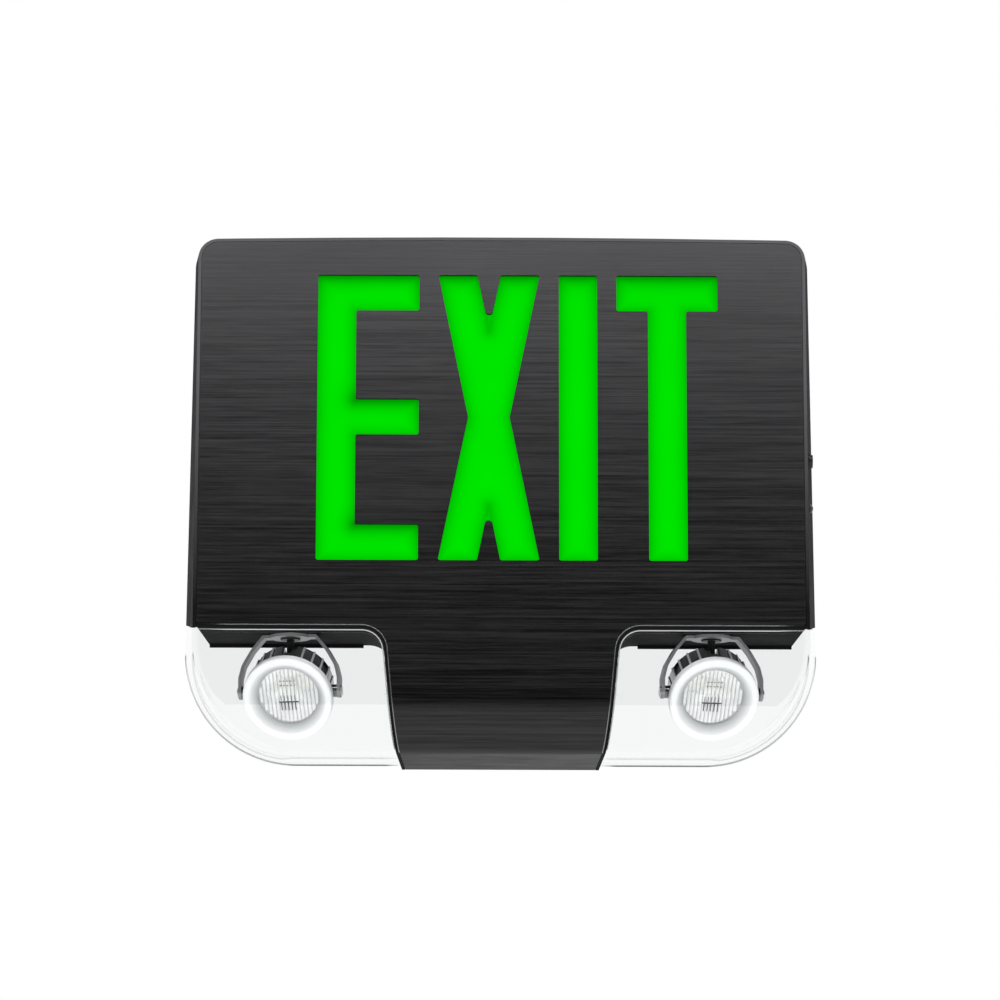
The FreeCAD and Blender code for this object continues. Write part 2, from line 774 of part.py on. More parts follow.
def terminal_block():
    width, out, height = TERMINAL_SIZE
    body = on_board(TERMINAL_SIZE, TERMINAL_X)
    pitch = width / TERMINAL_WAYS
    face = board_face()
    for i in range(TERMINAL_WAYS):
        x = TERMINAL_X - width / 2 + (i + 0.5) * pitch
        body = body.cut(pin(TERMINAL_HOLE, V(x, -face - out - 1, BOARD_Z + height / 5),
                            V(x, -face - out / 2, BOARD_Z + height / 5)))
        body = body.cut(pin(TERMINAL_HOLE, V(x, -face - out / 4, BOARD_Z - height / 2 - 1),
                            V(x, -face - out / 4, BOARD_Z)))
    return body


def fuse():
    """Glass fuse lying between two end clips that stand on the board."""
    face = board_face()
    out = face + FUSE_RADIUS + 1
    start = V(FUSE_X, -out, BOARD_Z - FUSE_LENGTH / 2)
    parts = [pin(FUSE_RADIUS, start, start + V(0, 0, FUSE_LENGTH))]
    for z in (BOARD_Z - FUSE_LENGTH / 2, BOARD_Z + FUSE_LENGTH / 2 - 4):
        parts.append(block(FUSE_X - FUSE_RADIUS - 1, FUSE_X + FUSE_RADIUS + 1, face, out, z, z + 4))
    return fused(parts)


def battery_pack():
    """Three cells side by side in one heat-shrunk sleeve."""
    cells = []
    for i in range(CELL_COUNT):
        x = (2 * i + 1 - CELL_COUNT) * CELL_RADIUS
        start = V(x, -BACK_WALL - CELL_RADIUS, BATTERY_Z)
        cells.append(pin(CELL_RADIUS, start, start + V(0, 0, CELL_HEIGHT)))
    half = (CELL_COUNT - 1) * CELL_RADIUS
    web = block(-half, half, BACK_WALL, BACK_WALL + 2 * CELL_RADIUS, BATTERY_Z, BATTERY_Z + CELL_HEIGHT)
    return fused(cells + [web])


def battery_strap():
    """Sheet strap over the battery, with an ear on each side."""
    half = CELL_COUNT * CELL_RADIUS + STRAP_GAP
    out = BACK_WALL + 2 * CELL_RADIUS + STRAP_GAP
    seat = BACK_WALL + STRAP_SEAT
    t = STRAP_THICKNESS
    z = BATTERY_Z + CELL_HEIGHT / 2 - STRAP_WIDTH / 2
    ear = half + t + STRAP_EAR
    corners = [(ear, seat), (ear, seat + t), (half + t, seat + t), (half + t, out + t)]
    inner = [(half, out), (half, seat)]
    right = [(x, d, 0) for x, d in corners]
    left = [(-x, d, 0) for x, d in reversed(corners)]
    under = [(-x, d, 0) for x, d in reversed(inner)] + [(x, d, 0) for x, d in inner]
    outline = right + left + under
    strap = extruded(outline, lambda p: V(p.x, -p.y, z), V(0, 0, STRAP_WIDTH))
    for x, hole_z in strap_ears():
        strap = strap.cut(pin(SCREW_RADIUS + SCREW_GAP, V(x, 0, hole_z), V(x, -FRONT_REACH, hole_z)))
    return strap


def strap_screws():
    seat = BACK_WALL + STRAP_SEAT + STRAP_THICKNESS
    return Part.makeCompound([screw(V(x, -seat, z), V(0, 1, 0), SCREW_LENGTH) for x, z in strap_ears()])


def wire_bushing():
    """Snap bushing in the wire hole of the back plate, with a lip inside the box."""
    body = pin(WIRE_HOLE_RADIUS - SCREW_GAP, V(0, -0.2, 0), V(0, -BACK_WALL, 0))
    lip = pin(WIRE_HOLE_RADIUS + WIRE_BUSH_LIP, V(0, -BACK_WALL, 0), V(0, -BACK_WALL - WIRE_BUSH_LIP, 0))
    return fused([body, lip]).cut(pin(WIRE_BUSH_BORE, V(0, 1, 0), V(0, -BACK_WALL * 3, 0)))


def switch_face():
    """Where the switch neck ends, just proud of the side wall."""
    return side_half(SWITCH_Z, SWITCH_DEPTH, 0) + SWITCH_NECK_RADIUS * math.tan(math.radians(SIDE_DRAFT))


def button_inner():
    """Inner end of the button's stem at rest."""
    return switch_face() + BUTTON_PROUD - BUTTON_LENGTH


def test_switch_body():
    """Square switch with a round neck that fills the wall's hole and guides the button."""
    half = SWITCH_BODY / 2
    front = V(switch_face(), -SWITCH_DEPTH, SWITCH_Z)
    floor = button_inner() - BUTTON_TRAVEL - BUTTON_GAP
    neck = pin(SWITCH_NECK_RADIUS, V(SWITCH_PAD_X, front.y, front.z), front)
    body = block(floor - SWITCH_FLOOR, SWITCH_PAD_X, SWITCH_DEPTH - half, SWITCH_DEPTH + half,
                 SWITCH_Z - half, SWITCH_Z + half)
    bore = pin(BUTTON_RADIUS + BUTTON_GAP, front + V(1, 0, 0), V(floor, front.y, front.z))
    return fused([neck, body]).cut(bore)


def test_button():
    end = V(switch_face() + BUTTON_PROUD, -SWITCH_DEPTH, SWITCH_Z)
    stem = pin(BUTTON_RADIUS, V(button_inner(), end.y, end.z), end)
    rim = [e for e in stem.Edges if (e.CenterOfMass - end).Length < 1e-6]
    return stem.makeFillet(BUTTON_PROUD / 3, rim)


def indicator_led():
    z = SWITCH_Z - INDICATOR_DROP
    end = V(side_half(z, SWITCH_DEPTH, 0), -SWITCH_DEPTH, z)
    body = pin(INDICATOR_RADIUS, V(SWITCH_PAD_X, end.y, z), end)
    dome = Part.makeSphere(INDICATOR_RADIUS, end - V(INDICATOR_RADIUS * 0.4, 0, 0))
    dome = dome.cut(block(-SPAN, end.x - INDICATOR_RADIUS * 0.4, 0, FRONT_REACH, z - SPAN, z + SPAN))
    flange = pin(INDICATOR_FLANGE, V(SWITCH_PAD_X - 1.2, end.y, z), V(SWITCH_PAD_X, end.y, z))
    return fused([body, dome, flange])


def lens_block(inset):
    """Space inside the lens cover's outer skin, right side; the inside reaches into the neck.
    The rounded corner ends a little below the underside, which cuts it along a soft crease."""
    def corners(depth):
        inner = inset - LENS_GAP
        low = foot_z(depth, LENS_SET_BACK + inset) - LENS_CREASE
        top = skirt_z(0, 0) + WALL
        radius = LENS_CORNER - depth * math.tan(math.radians(SIDE_DRAFT)) - inset
        return [
            (neck_half(top, depth, inner), top, 0),
            (side_half(top, depth, inset), top, 0),
            (side_half(low, depth, inset), low, radius),
            (neck_half(low, depth, inner), low, 0),
        ]
    solid = drafted(corners).common(side_profile(LENS_SET_BACK + inset)).removeSplitter()
    return solid.makeFillet(LENS_EDGE - inset, front_side_edges(solid, inset))


def front_side_edges(solid, inset):
    """Edges where the front of the lens meets its outer side."""
    found = []
    for edge in solid.Edges:
        middle = edge.valueAt((edge.FirstParameter + edge.LastParameter) / 2)
        front = face_depth(middle.z) - (LENS_SET_BACK + inset) / LEAN_COS
        side = side_half(middle.z, -middle.y, inset)
        upright = abs(edge.BoundBox.ZLength) > LENS_EDGE
        if upright and abs(-middle.y - front) < 0.1 and abs(middle.x - side) < 0.1:
            found.append(edge)
    return found


def lens():
    """Clear cover of the right lamp bay, open to the wall and the neck, with hooks that snap into the neck."""
    room = fused([upper_box(-LENS_GAP), ceiling_box(-LENS_GAP)])
    wall = block(0, SPAN, -1, LENS_WALL_GAP, 2 * FOOT_Z, FACE_TOP_Z)
    cover = lens_block(0).cut(lens_block(LENS_WALL)).cut([room, wall])
    hooks = [neck_hook(z, 0) for z in HOOK_HEIGHTS] + [hook_arm(z) for z in HOOK_HEIGHTS]
    return fused([cover] + hooks)


def turned(points):
    """Solid of revolution about the lamp axis from (radius, forward) points."""
    loop = [V(r, -s, 0) for r, s in points]
    face = Part.Face(Part.makePolygon(loop + loop[:1]))
    return face.revolve(V(0, 0, 0), V(0, 1, 0), 360)


def aimed(shape, side):
    """Carries a lamp piece from its own frame to its place, tilted down and swivelled out."""
    shape.rotate(V(0, 0, 0), V(1, 0, 0), LAMP_TILT)
    shape.rotate(V(0, 0, 0), V(0, 0, 1), side * LAMP_SWIVEL)
    shape.translate(V(side * LAMP_X, -LAMP_DEPTH, PIVOT_Z))
    return shape


def bezel():
    """White ring whose mouth narrows to the glass."""
    r = BEZEL_RADIUS
    return turned([
        (r - 0.6, BEZEL_REAR), (r, BEZEL_REAR + 0.8), (r, BEZEL_FRONT - 1.4), (r - 0.4, BEZEL_FRONT - 0.5),
        (r - 1.3, BEZEL_FRONT), (MOUTH_RADIUS + 0.9, BEZEL_FRONT), (MOUTH_RADIUS, BEZEL_FRONT - 0.4),
        (GLASS_OPENING, GLASS_FRONT + 0.6), (GLASS_OPENING, GLASS_FRONT), (GLASS_SEAT, GLASS_FRONT),
        (GLASS_SEAT, BEZEL_REAR),
    ])


def glass():
    """Round lens with upright flutes moulded in its front."""
    radius = GLASS_SEAT - GLASS_GAP
    disc = turned([(0, GLASS_FRONT), (radius, GLASS_FRONT), (radius, GLASS_FRONT - GLASS_THICKNESS),
                   (0, GLASS_FRONT - GLASS_THICKNESS)])
    grooves = []
    count = int(2 * GLASS_OPENING / FLUTE_PITCH / 2)
    sag = FLUTE_DEPTH
    half = FLUTE_PITCH / 4
    groove_radius = (half * half + sag * sag) / (2 * sag)
    for i in range(-count, count + 1):
        x = i * FLUTE_PITCH
        reach = math.sqrt(max(GLASS_OPENING ** 2 - x * x, 1.0)) - 0.4
        centre = -GLASS_FRONT + sag - groove_radius
        grooves.append(pin(groove_radius, V(x, centre, -reach), V(x, centre, reach)))
    return disc.cut(grooves)


def reflector():
    """Bright bowl behind the glass, open at its base for the light source."""
    front = GLASS_FRONT - GLASS_THICKNESS
    rear = front - REFLECTOR_FLANGE
    deep = front - REFLECTOR_REAR
    steps = 6
    inside = []
    for i in range(steps + 1):
        share = i / steps
        radius = REFLECTOR_BASE + (GLASS_OPENING - 0.4 - REFLECTOR_BASE) * math.sqrt(share)
        inside.append((radius, REFLECTOR_REAR + deep * share))
    outside = [(r + REFLECTOR_WALL, s - 0.2) for r, s in inside[:-1]]
    rim = [(GLASS_SEAT - GLASS_GAP, front), (GLASS_SEAT - GLASS_GAP, rear), (SHELL_BORE - 0.3, rear)]
    return turned(inside + rim + outside[::-1])


def lamp_shell():
    """Ribbed barrel with a pivot boss on each side and a step for the reflector."""
    step = GLASS_FRONT - GLASS_THICKNESS - REFLECTOR_FLANGE
    barrel = turned([(SHELL_RADIUS, BEZEL_REAR), (SHELL_RADIUS, SHELL_REAR), (SHELL_BORE, SHELL_REAR),
                     (SHELL_BORE, step), (GLASS_SEAT, step), (GLASS_SEAT, BEZEL_REAR)])
    ribs = []
    depth = SHELL_RADIUS + RIB_HEIGHT
    inner = SHELL_RADIUS - 0.5
    for i in range(RIB_COUNT):
        rib = Part.makeBox(RIB_WIDTH, BEZEL_REAR - SHELL_REAR, depth - inner,
                           V(-RIB_WIDTH / 2, -BEZEL_REAR, inner))
        rib.rotate(V(0, 0, 0), V(0, 1, 0), (i + 0.5) * 360 / RIB_COUNT)
        ribs.append(rib)
    face = YOKE_ARM_HALF - YOKE_THICKNESS - YOKE_GAP
    for sign in (-1, 1):
        ribs.append(pin(PIVOT_BOSS, V(sign * (SHELL_RADIUS - 1), 0, 0), V(sign * face, 0, 0)))
    shell = barrel.multiFuse(ribs).cut(lead_slot())
    for sign in (-1, 1):
        shell = shell.cut(pin(PIVOT_RADIUS + SCREW_GAP, V(sign * (SHELL_BORE + 0.5), 0, 0),
                              V(sign * YOKE_ARM_HALF, 0, 0)))
    return shell.removeSplitter()


def cap_radius(forward):
    """Outside radius of the tapered cap at a distance along the lamp axis."""
    share = (SHELL_REAR - forward) / (SHELL_REAR - CAP_REAR)
    return SHELL_RADIUS + (CAP_RADIUS - SHELL_RADIUS) * share


def lead_slot():
    """Slot along the lamp's upper side, so that the lead stays free as the lamp tilts."""
    half = LEAD_RADIUS + LEAD_SLOT_GAP
    return block(-half, half, LEAD_SLOT_REAR, LEAD_SLOT_FRONT, SHELL_BORE - SHELL_WALL / 2, PIVOT_DROP)


def rear_cap():
    """Tapered cap with a post for the light source and a slot for the lead."""
    seat = REFLECTOR_REAR - CHIP_THICKNESS
    outer = turned([(0, CAP_REAR), (CAP_RADIUS, CAP_REAR), (SHELL_RADIUS, SHELL_REAR), (0, SHELL_REAR)])
    inner = turned([(0, CAP_REAR + CAP_WALL), (cap_radius(CAP_REAR + CAP_WALL) - CAP_WALL * 1.4,
                                              CAP_REAR + CAP_WALL),
                    (SHELL_RADIUS - CAP_WALL * 1.4, SHELL_REAR), (0, SHELL_REAR)])
    post = turned([(0, CAP_REAR + 0.5), (CHIP_RADIUS, CAP_REAR + 0.5), (CHIP_RADIUS, seat), (0, seat)])
    return fused([outer.cut(inner), post]).cut(lead_slot())


def led_chip():
    """Round board with a domed emitter."""
    seat = REFLECTOR_REAR - CHIP_THICKNESS
    board = turned([(0, seat), (CHIP_RADIUS, seat), (CHIP_RADIUS, REFLECTOR_REAR), (0, REFLECTOR_REAR)])
    dome = Part.makeSphere(CHIP_DOME, V(0, -REFLECTOR_REAR, 0))
    front = Part.makeBox(20, 10, 20, V(-10, -REFLECTOR_REAR - 10, -10))
    return fused([board, dome.common(front)])


def pivot_rivets():
    """Low-headed shoulder rivets through the yoke's arms into the shell's bosses."""
    rivets = []
    for sign in (-1, 1):
        seat = V(sign * (YOKE_ARM_HALF + YOKE_GAP), 0, 0)
        top = seat + V(sign * RIVET_HEAD_HEIGHT, 0, 0)
        head = pin(RIVET_HEAD_RADIUS, seat, top)
        rim = [e for e in head.Edges if (e.CenterOfMass - top).Length < 1e-6]
        head = head.makeFillet(RIVET_HEAD_HEIGHT / 2, rim)
        rivets.append(head.fuse(pin(PIVOT_RADIUS, seat, V(sign * (SHELL_BORE + 1), 0, 0))))
    return Part.makeCompound(rivets)


def yoke():
    """Bent strap: a round pad under the ceiling and two arms down to the pivots."""
    drop = PIVOT_DROP
    t = YOKE_THICKNESS
    outer = [(YOKE_TOP_HALF, 0), (YOKE_ARM_HALF - 6.0, -7.5), (YOKE_ARM_HALF - 1.6, -15.0),
             (YOKE_ARM_HALF, 6.9 - drop), (YOKE_ARM_HALF, -drop - YOKE_END)]
    inner = [(YOKE_TOP_HALF - 0.7, -t), (YOKE_ARM_HALF - 7.3, -8.2), (YOKE_ARM_HALF - 3.0, -15.5),
             (YOKE_ARM_HALF - t, 6.6 - drop), (YOKE_ARM_HALF - t, -drop - YOKE_END)]
    right = outer + inner[::-1]
    left = [(-x, z) for x, z in reversed(right)]
    radii = [1.5, 9.0, 9.0, 6.0, 0.0, 0.0, 6.0, 9.0, 9.0, 0.8]
    corners = [(x, z, r) for (x, z), r in zip(right, radii)]
    corners += [(x, z, r) for (x, z), r in zip(left, radii[::-1])]
    strap = extruded(corners, lambda p: V(p.x, -YOKE_STRAP / 2, p.y), V(0, YOKE_STRAP, 0))
    pad = pin(YOKE_PAD_RADIUS, V(0, 0, -t), V(0, 0, 0))
    shape = fused([strap, pad])
    shape = shape.cut(pin(BUSH_RADIUS + BUSH_FIT, V(0, 0, -2 * t), V(0, 0, t)))
    shape = shape.cut(pin(PIVOT_RADIUS + SCREW_GAP, V(-2 * YOKE_ARM_HALF, 0, -drop),
                          V(2 * YOKE_ARM_HALF, 0, -drop)))
    for sign in (-1, 1):
        end = Part.makeBox(4 * t, YOKE_STRAP, YOKE_END + YOKE_STRAP / 2,
                           V(sign * YOKE_ARM_HALF - 2 * t, -YOKE_STRAP / 2, -drop - YOKE_END))
        keep = pin(YOKE_STRAP / 2, V(sign * YOKE_ARM_HALF - 2 * t, 0, -drop),
                   V(sign * YOKE_ARM_HALF + 2 * t, 0, -drop))
        above = Part.makeBox(4 * t, YOKE_STRAP, YOKE_STRAP, V(sign * YOKE_ARM_HALF - 2 * t,
                                                             -YOKE_STRAP / 2, -drop))
        shape = shape.cut(end.cut(keep.fuse(above)))
    return shape


def hung(shape, side):
    """Carries a yoke piece to its place under the ceiling."""
    shape.rotate(V(0, 0, 0), V(0, 0, 1), side * LAMP_SWIVEL)
    shape.translate(V(side * LAMP_X, -LAMP_DEPTH, CEILING_Z))
    return shape


def swivel_bush():
    """Hollow bush through the ceiling and the yoke, with a rolled lip below."""
    low = -YOKE_THICKNESS
    body = pin(BUSH_RADIUS, V(0, 0, low), V(0, 0, WALL + BUSH_NUT_HEIGHT + 1))
    lip = pin(BUSH_RADIUS + BUSH_LIP, V(0, 0, low - BUSH_LIP_HEIGHT), V(0, 0, low))
    bore = pin(BUSH_BORE, V(0, 0, low - BUSH_LIP_HEIGHT - 1), V(0, 0, WALL * 4))
    return fused([body, lip]).cut(bore)


def bush_nut():
    """Hexagon nut on the bush, inside the housing."""
    corners = []
    for i in range(6):
        angle = math.radians(60 * i)
        corners.append((BUSH_NUT_RADIUS * math.cos(angle), BUSH_NUT_RADIUS * math.sin(angle), 0))
    nut = extruded(corners, lambda p: V(p.x, p.y, WALL), V(0, 0, BUSH_NUT_HEIGHT))
    return nut.cut(pin(BUSH_RADIUS + BUSH_FIT, V(0, 0, 0), V(0, 0, WALL * 4)))


def lead():
    """Short sleeved lead down the middle of the bush into the lamp."""
    return pin(LEAD_RADIUS, V(0, 0, LEAD_TOP), V(0, 0, -LEAD_BOTTOM))


def nodes():
    """Every piece by name."""
    upper, lower = led_rows()
    made = {
        "housing": housing(),
        "back_plate": back_plate(),
        "face_plate": face_plate(),
        "legend_panel": legend_panel(),
        "light_tray": light_tray(),
        "upper_led_board": led_board(upper),
        "lower_led_board": led_board(lower),
        "legend_leds": legend_leds(),
        "tray_screws": tray_screws(),
        "control_board": control_board(),
        "board_screws": board_screws(),
        "transformer": transformer(),
        "relay": relay(),
        "capacitor": capacitor(),
        "terminal_block": terminal_block(),
        "fuse": fuse(),
        "battery_pack": battery_pack(),
        "battery_strap": battery_strap(),
        "strap_screws": strap_screws(),
        "wire_bushing": wire_bushing(),
        "test_switch_body": test_switch_body(),
        "test_button": test_button(),
        "indicator_led": indicator_led(),
        "right_lens": lens(),
        "left_lens": mirrored(lens()),
    }
    for name, side in SIDES:
        made[name + "_yoke"] = hung(yoke(), side)
        made[name + "_swivel_bush"] = hung(swivel_bush(), side)
        made[name + "_bush_nut"] = hung(bush_nut(), side)
        made[name + "_lead"] = hung(lead(), side)
        made[name + "_bezel"] = aimed(bezel(), side)
        made[name + "_glass"] = aimed(glass(), side)
        made[name + "_reflector"] = aimed(reflector(), side)
        made[name + "_lamp_shell"] = aimed(lamp_shell(), side)
        made[name + "_rear_cap"] = aimed(rear_cap(), side)
        made[name + "_led_chip"] = aimed(led_chip(), side)
        made[name + "_pivot_rivets"] = aimed(pivot_rivets(), side)
    return made


def main():
    os.makedirs("parts", exist_ok=True)
    for name, shape in nodes().items():
        shape.exportStep("parts/" + name + ".step")
        print(name, len(shape.Solids), round(shape.Volume, 1), shape.isValid())


main()
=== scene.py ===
"""Dresses the emergency exit light: real finishes with some painted highlights and shade, the lit legend, the
leads and the lamps' light engines.
"""

import json
import math

import bpy
import numpy as np
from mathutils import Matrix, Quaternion, Vector


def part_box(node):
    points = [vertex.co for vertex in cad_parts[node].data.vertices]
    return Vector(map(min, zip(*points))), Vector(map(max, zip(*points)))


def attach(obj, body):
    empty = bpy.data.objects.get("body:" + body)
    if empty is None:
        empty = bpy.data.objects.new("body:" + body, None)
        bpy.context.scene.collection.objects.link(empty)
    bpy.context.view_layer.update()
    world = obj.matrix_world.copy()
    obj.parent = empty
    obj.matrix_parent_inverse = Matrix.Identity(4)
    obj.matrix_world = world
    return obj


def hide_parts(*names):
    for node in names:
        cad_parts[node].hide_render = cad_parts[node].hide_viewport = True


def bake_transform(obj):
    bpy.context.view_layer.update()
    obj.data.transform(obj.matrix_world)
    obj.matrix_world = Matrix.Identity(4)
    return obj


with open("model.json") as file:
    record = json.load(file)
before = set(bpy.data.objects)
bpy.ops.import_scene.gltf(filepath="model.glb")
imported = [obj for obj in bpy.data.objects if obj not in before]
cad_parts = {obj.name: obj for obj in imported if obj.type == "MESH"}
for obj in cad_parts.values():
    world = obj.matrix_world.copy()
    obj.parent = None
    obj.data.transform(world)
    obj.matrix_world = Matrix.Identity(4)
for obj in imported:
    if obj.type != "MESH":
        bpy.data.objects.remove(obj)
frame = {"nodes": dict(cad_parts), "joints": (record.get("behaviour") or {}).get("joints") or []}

bl_info = {
    "name": "Emergency exit light",
    "version": (1, 0, 0),
    "blender": (4, 5, 0),
    "location": "3D View > Sidebar > Exit light",
    "description": "Finishes and small parts of a wall exit sign with two emergency lamps",
    "category": "Object",
}

MM = 0.001
SIDES = (("left", -1.0), ("right", 1.0))
EVEN = (1, 1, 1)  # stretch of a grain without a direction
TIP = 1e-5  # radius of a tube's closed end, near nothing
LINE_POINTS = 8
LEAD_POINTS = 29
RIBS = 24


def linear(code):
    """A #rrggbb sRGB colour as linear RGB with alpha 1."""
    values = []
    for start in (1, 3, 5):
        c = int(code[start:start + 2], 16) / 255
        values.append(c / 12.92 if c <= 0.04045 else ((c + 0.055) / 1.055) ** 2.4)
    return (*values, 1.0)


def colour(label, code):
    """A colour setting of a property group."""
    return bpy.props.FloatVectorProperty(
        name=label, description=label + " colour", subtype="COLOR", size=4, min=0, max=1,
        default=linear(code))


def length(label, value):
    """A length setting in metres."""
    return bpy.props.FloatProperty(
        name=label, description=label + " in metres", unit="LENGTH", precision=4, default=value)


def angle(label, degrees):
    """An angle setting, kept in radians."""
    return bpy.props.FloatProperty(
        name=label, description=label + " as an angle", subtype="ANGLE", default=math.radians(degrees))


class ExitFinishes(bpy.types.PropertyGroup):
    """Colours of the sign's materials."""

    casting: colour("Powder-coated casting", "#131314")
    # Painted highlight: the lighter colour of the casting's rim where it faces forward.
    painted_rim_highlight: colour("Rubbed rim of the casting", "#4c4c4e")
    plate: colour("Brushed face plate", "#363637")
    legend: colour("Lit legend", "#00e700")
    # Painted shade: the darker green of the legend near the plate's cut edges.
    legend_painted_shade: colour("Legend near its edges", "#00be00")
    # Painted shade: the grey of the lamp's mouth towards the glass.
    mouth: colour("Lamp mouth beside the glass", "#a4a6a8")
    bezel: colour("Lamp bezel", "#f7f7f7")
    cover: colour("Clear cover", "#fafbfb")


class ExitSizes(bpy.types.PropertyGroup):
    """Sizes of the pieces that are added to the solids."""

    letter_height: length("Letter height", 152.4 * MM)
    letter_width: length("Letter width", 50.8 * MM)
    stroke: length("Letter stroke", 19.2 * MM)
    letter_gap: length("Gap between letters", 9.7 * MM)
    arm_width: length("Width of the arms of the X", 19.6 * MM)
    waist_width: length("Width of the X at its middle", 20.8 * MM)
    panel_margin: length("Legend panel beyond the letters", 9.0 * MM)
    panel_thickness: length("Legend panel thickness", 2.5 * MM)
    under_glow: length("Reach of the shade under the letters' upper sides", 4.5 * MM)
    edge_glow: length("Reach of the shade along the legend's edges", 3.5 * MM)
    lead_radius: length("Lead radius", 1.85 * MM)
    half_width: length("Half width of the sign at its face", 152.8 * MM)
    face_top: length("Height of the face's top edge", 103.5 * MM)
    face_out: length("Distance of the face's top edge from the wall", 19.5 * MM)
    face_lean: angle("Lean of the face", 10.0)
    foot: length("Height of the underside at the wall", -163.1 * MM)
    foot_rise: angle("Slope of the underside", 4.0)
    bend_radius: length("Radius of the bend at the foot", 25.0 * MM)
    neck_half: length("Half width of the neck at its foot", 49.2 * MM)
    neck_taper: angle("Taper of the neck", 5.9)
    neck_draft: angle("Draft of the neck's sides", 3.5)
    notch_radius: length("Radius in the corners beside the neck", 11.2 * MM)
    side_draft: angle("Draft of the sides", 5.5)
    cover_set_back: length("Set-back of the covers from the face", 1.8 * MM)
    cover_corner: length("Radius of the covers' lower corners at the wall", 56.0 * MM)
    # The bright edges are painted highlights along the covers' edges and the plate's cut edge; the covers'
    # rims get a painted shade line.
    edge_radius: length("Radius of the bright edges", 0.3 * MM)
    cover_edge_out: length("Covers' bright edge beyond the casting's outline", 0.6 * MM)
    plate_edge_in: length("Plate's bright edge within the casting's outline", 1.7 * MM)
    plate_edge_depth: length("Set-back of the plate's bright edge from the face", 0.15 * MM)
    glass_radius: length("Lamp glass radius", 16.3 * MM)
    glass_opening: length("Radius of the glass that shows", 15.1 * MM)
    glass_thickness: length("Lamp glass thickness", 2.0 * MM)
    flute_pitch: length("Width of a flute", 2.0 * MM)
    flute_depth: length("Depth of a flute", 0.65 * MM)
    mouth_radius: length("Radius of the lamp's mouth", 19.3 * MM)
    barrel_radius: length("Radius of the lamp barrel", 20.4 * MM)
    # The bright rib tops are painted highlights.
    rib_lift: length("Middle of a rib's bright top above the barrel", 0.45 * MM)
    die: length("Light-emitting die", 0.9 * MM)
    contact_pitch: length("Pitch of the light source's contacts", 1.75 * MM)
    contact_lift: length("Contacts in front of the glass", 0.1 * MM)


class ExitStage(bpy.types.PropertyGroup):
    """Camera and lights."""

    distance: length("Camera distance", 3.730)
    aim_height: length("Height of the aim point", -0.030)
    aim_depth: length("Distance of the aim point from the wall", 0.030)
    floor_drop: length("Floor below the sign", 2.0)
    elevation: angle("Camera elevation", -10.17)
    azimuth: angle("Camera azimuth", -0.3)
    roll: angle("Camera roll", 0.14)
    focal: bpy.props.FloatProperty(
        name="Focal length", description="Focal length in millimetres on a 36 mm sensor", default=268.7)
    ambient: bpy.props.FloatProperty(
        name="Room light", description="Strength of the room's even light", default=0.75)
    dark_wall: bpy.props.FloatProperty(
        name="Dark wall", description="How bright the room looks in front of the sign in gloss", default=0.02)
    soft_box: bpy.props.FloatProperty(
        name="Soft box power", description="Power of the soft box in watts", default=3.0)
    fill: bpy.props.FloatProperty(
        name="Fill power", description="Power of the low fill light in watts", default=13.0)


# Nodes and materials


def add(tree, kind, links=(), **settings):
    """Adds a node; settings name its attributes or its input sockets, links feed sockets from outputs."""
    node = tree.nodes.new(kind)
    for key, value in settings.items():
        if hasattr(node, key):
            setattr(node, key, value)
        else:
            node.inputs[key.replace("_", " ")].default_value = value
    for socket, source in dict(links).items():
        tree.links.new(source, node.inputs[socket])
    return node


def surface(name, base, roughness, metallic=0.0, **sockets):
    """New material with a Principled shader whose constant values sit on its own sockets."""
    made = bpy.data.materials.new(name)
    made.use_nodes = True
    tree = made.node_tree
    shader = tree.nodes["Principled BSDF"]
    shader.inputs["Base Color"].default_value = base
    shader.inputs["Roughness"].default_value = roughness
    shader.inputs["Metallic"].default_value = metallic
    for key, value in sockets.items():
        shader.inputs[key.replace("_", " ")].default_value = value
    place = add(tree, "ShaderNodeTexCoord").outputs["Object"]
    return made, tree, shader, place


def pattern(tree, place, size, stretch=(1, 1, 1), detail=3.0, rough=0.55):
    """Noise whose lumps are size metres across, drawn out along an axis by a stretch below 1."""
    scale = tuple(s / size for s in stretch)
    moved = add(tree, "ShaderNodeMapping", {"Vector": place}, Scale=scale)
    return add(tree, "ShaderNodeTexNoise", {"Vector": moved.outputs["Vector"]},
               Scale=1.0, Detail=detail, Roughness=rough).outputs["Fac"]


def spread(tree, value, low, high, start=0.3, stop=0.7):
    """Maps start..stop of a value, by default a noise's middle range, to low..high."""
    mapped = add(tree, "ShaderNodeMapRange", {"Value": value})
    for socket, number in (("From Min", start), ("From Max", stop), ("To Min", low), ("To Max", high)):
        mapped.inputs[socket].default_value = number
    return mapped.outputs["Result"]


def tint(tree, value, dark, light):
    """Mixes two colours by a 0..1 value."""
    mixed = add(tree, "ShaderNodeMix", data_type="RGBA")
    mixed.inputs[6].default_value = dark
    mixed.inputs[7].default_value = light
    tree.links.new(value, mixed.inputs[0])
    return mixed.outputs[2]


def bump(tree, shader, height, depth, strength=1.0):
    """Lets a noise of that depth in metres stand out of the surface."""
    raised = add(tree, "ShaderNodeBump", {"Height": height}, Strength=strength, Distance=depth)
    tree.links.new(raised.outputs["Normal"], shader.inputs["Normal"])


def shade(base, factor):
    """The same colour, darker or lighter by a factor."""
    return (*[min(1.0, c * factor) for c in base[:3]], 1.0)


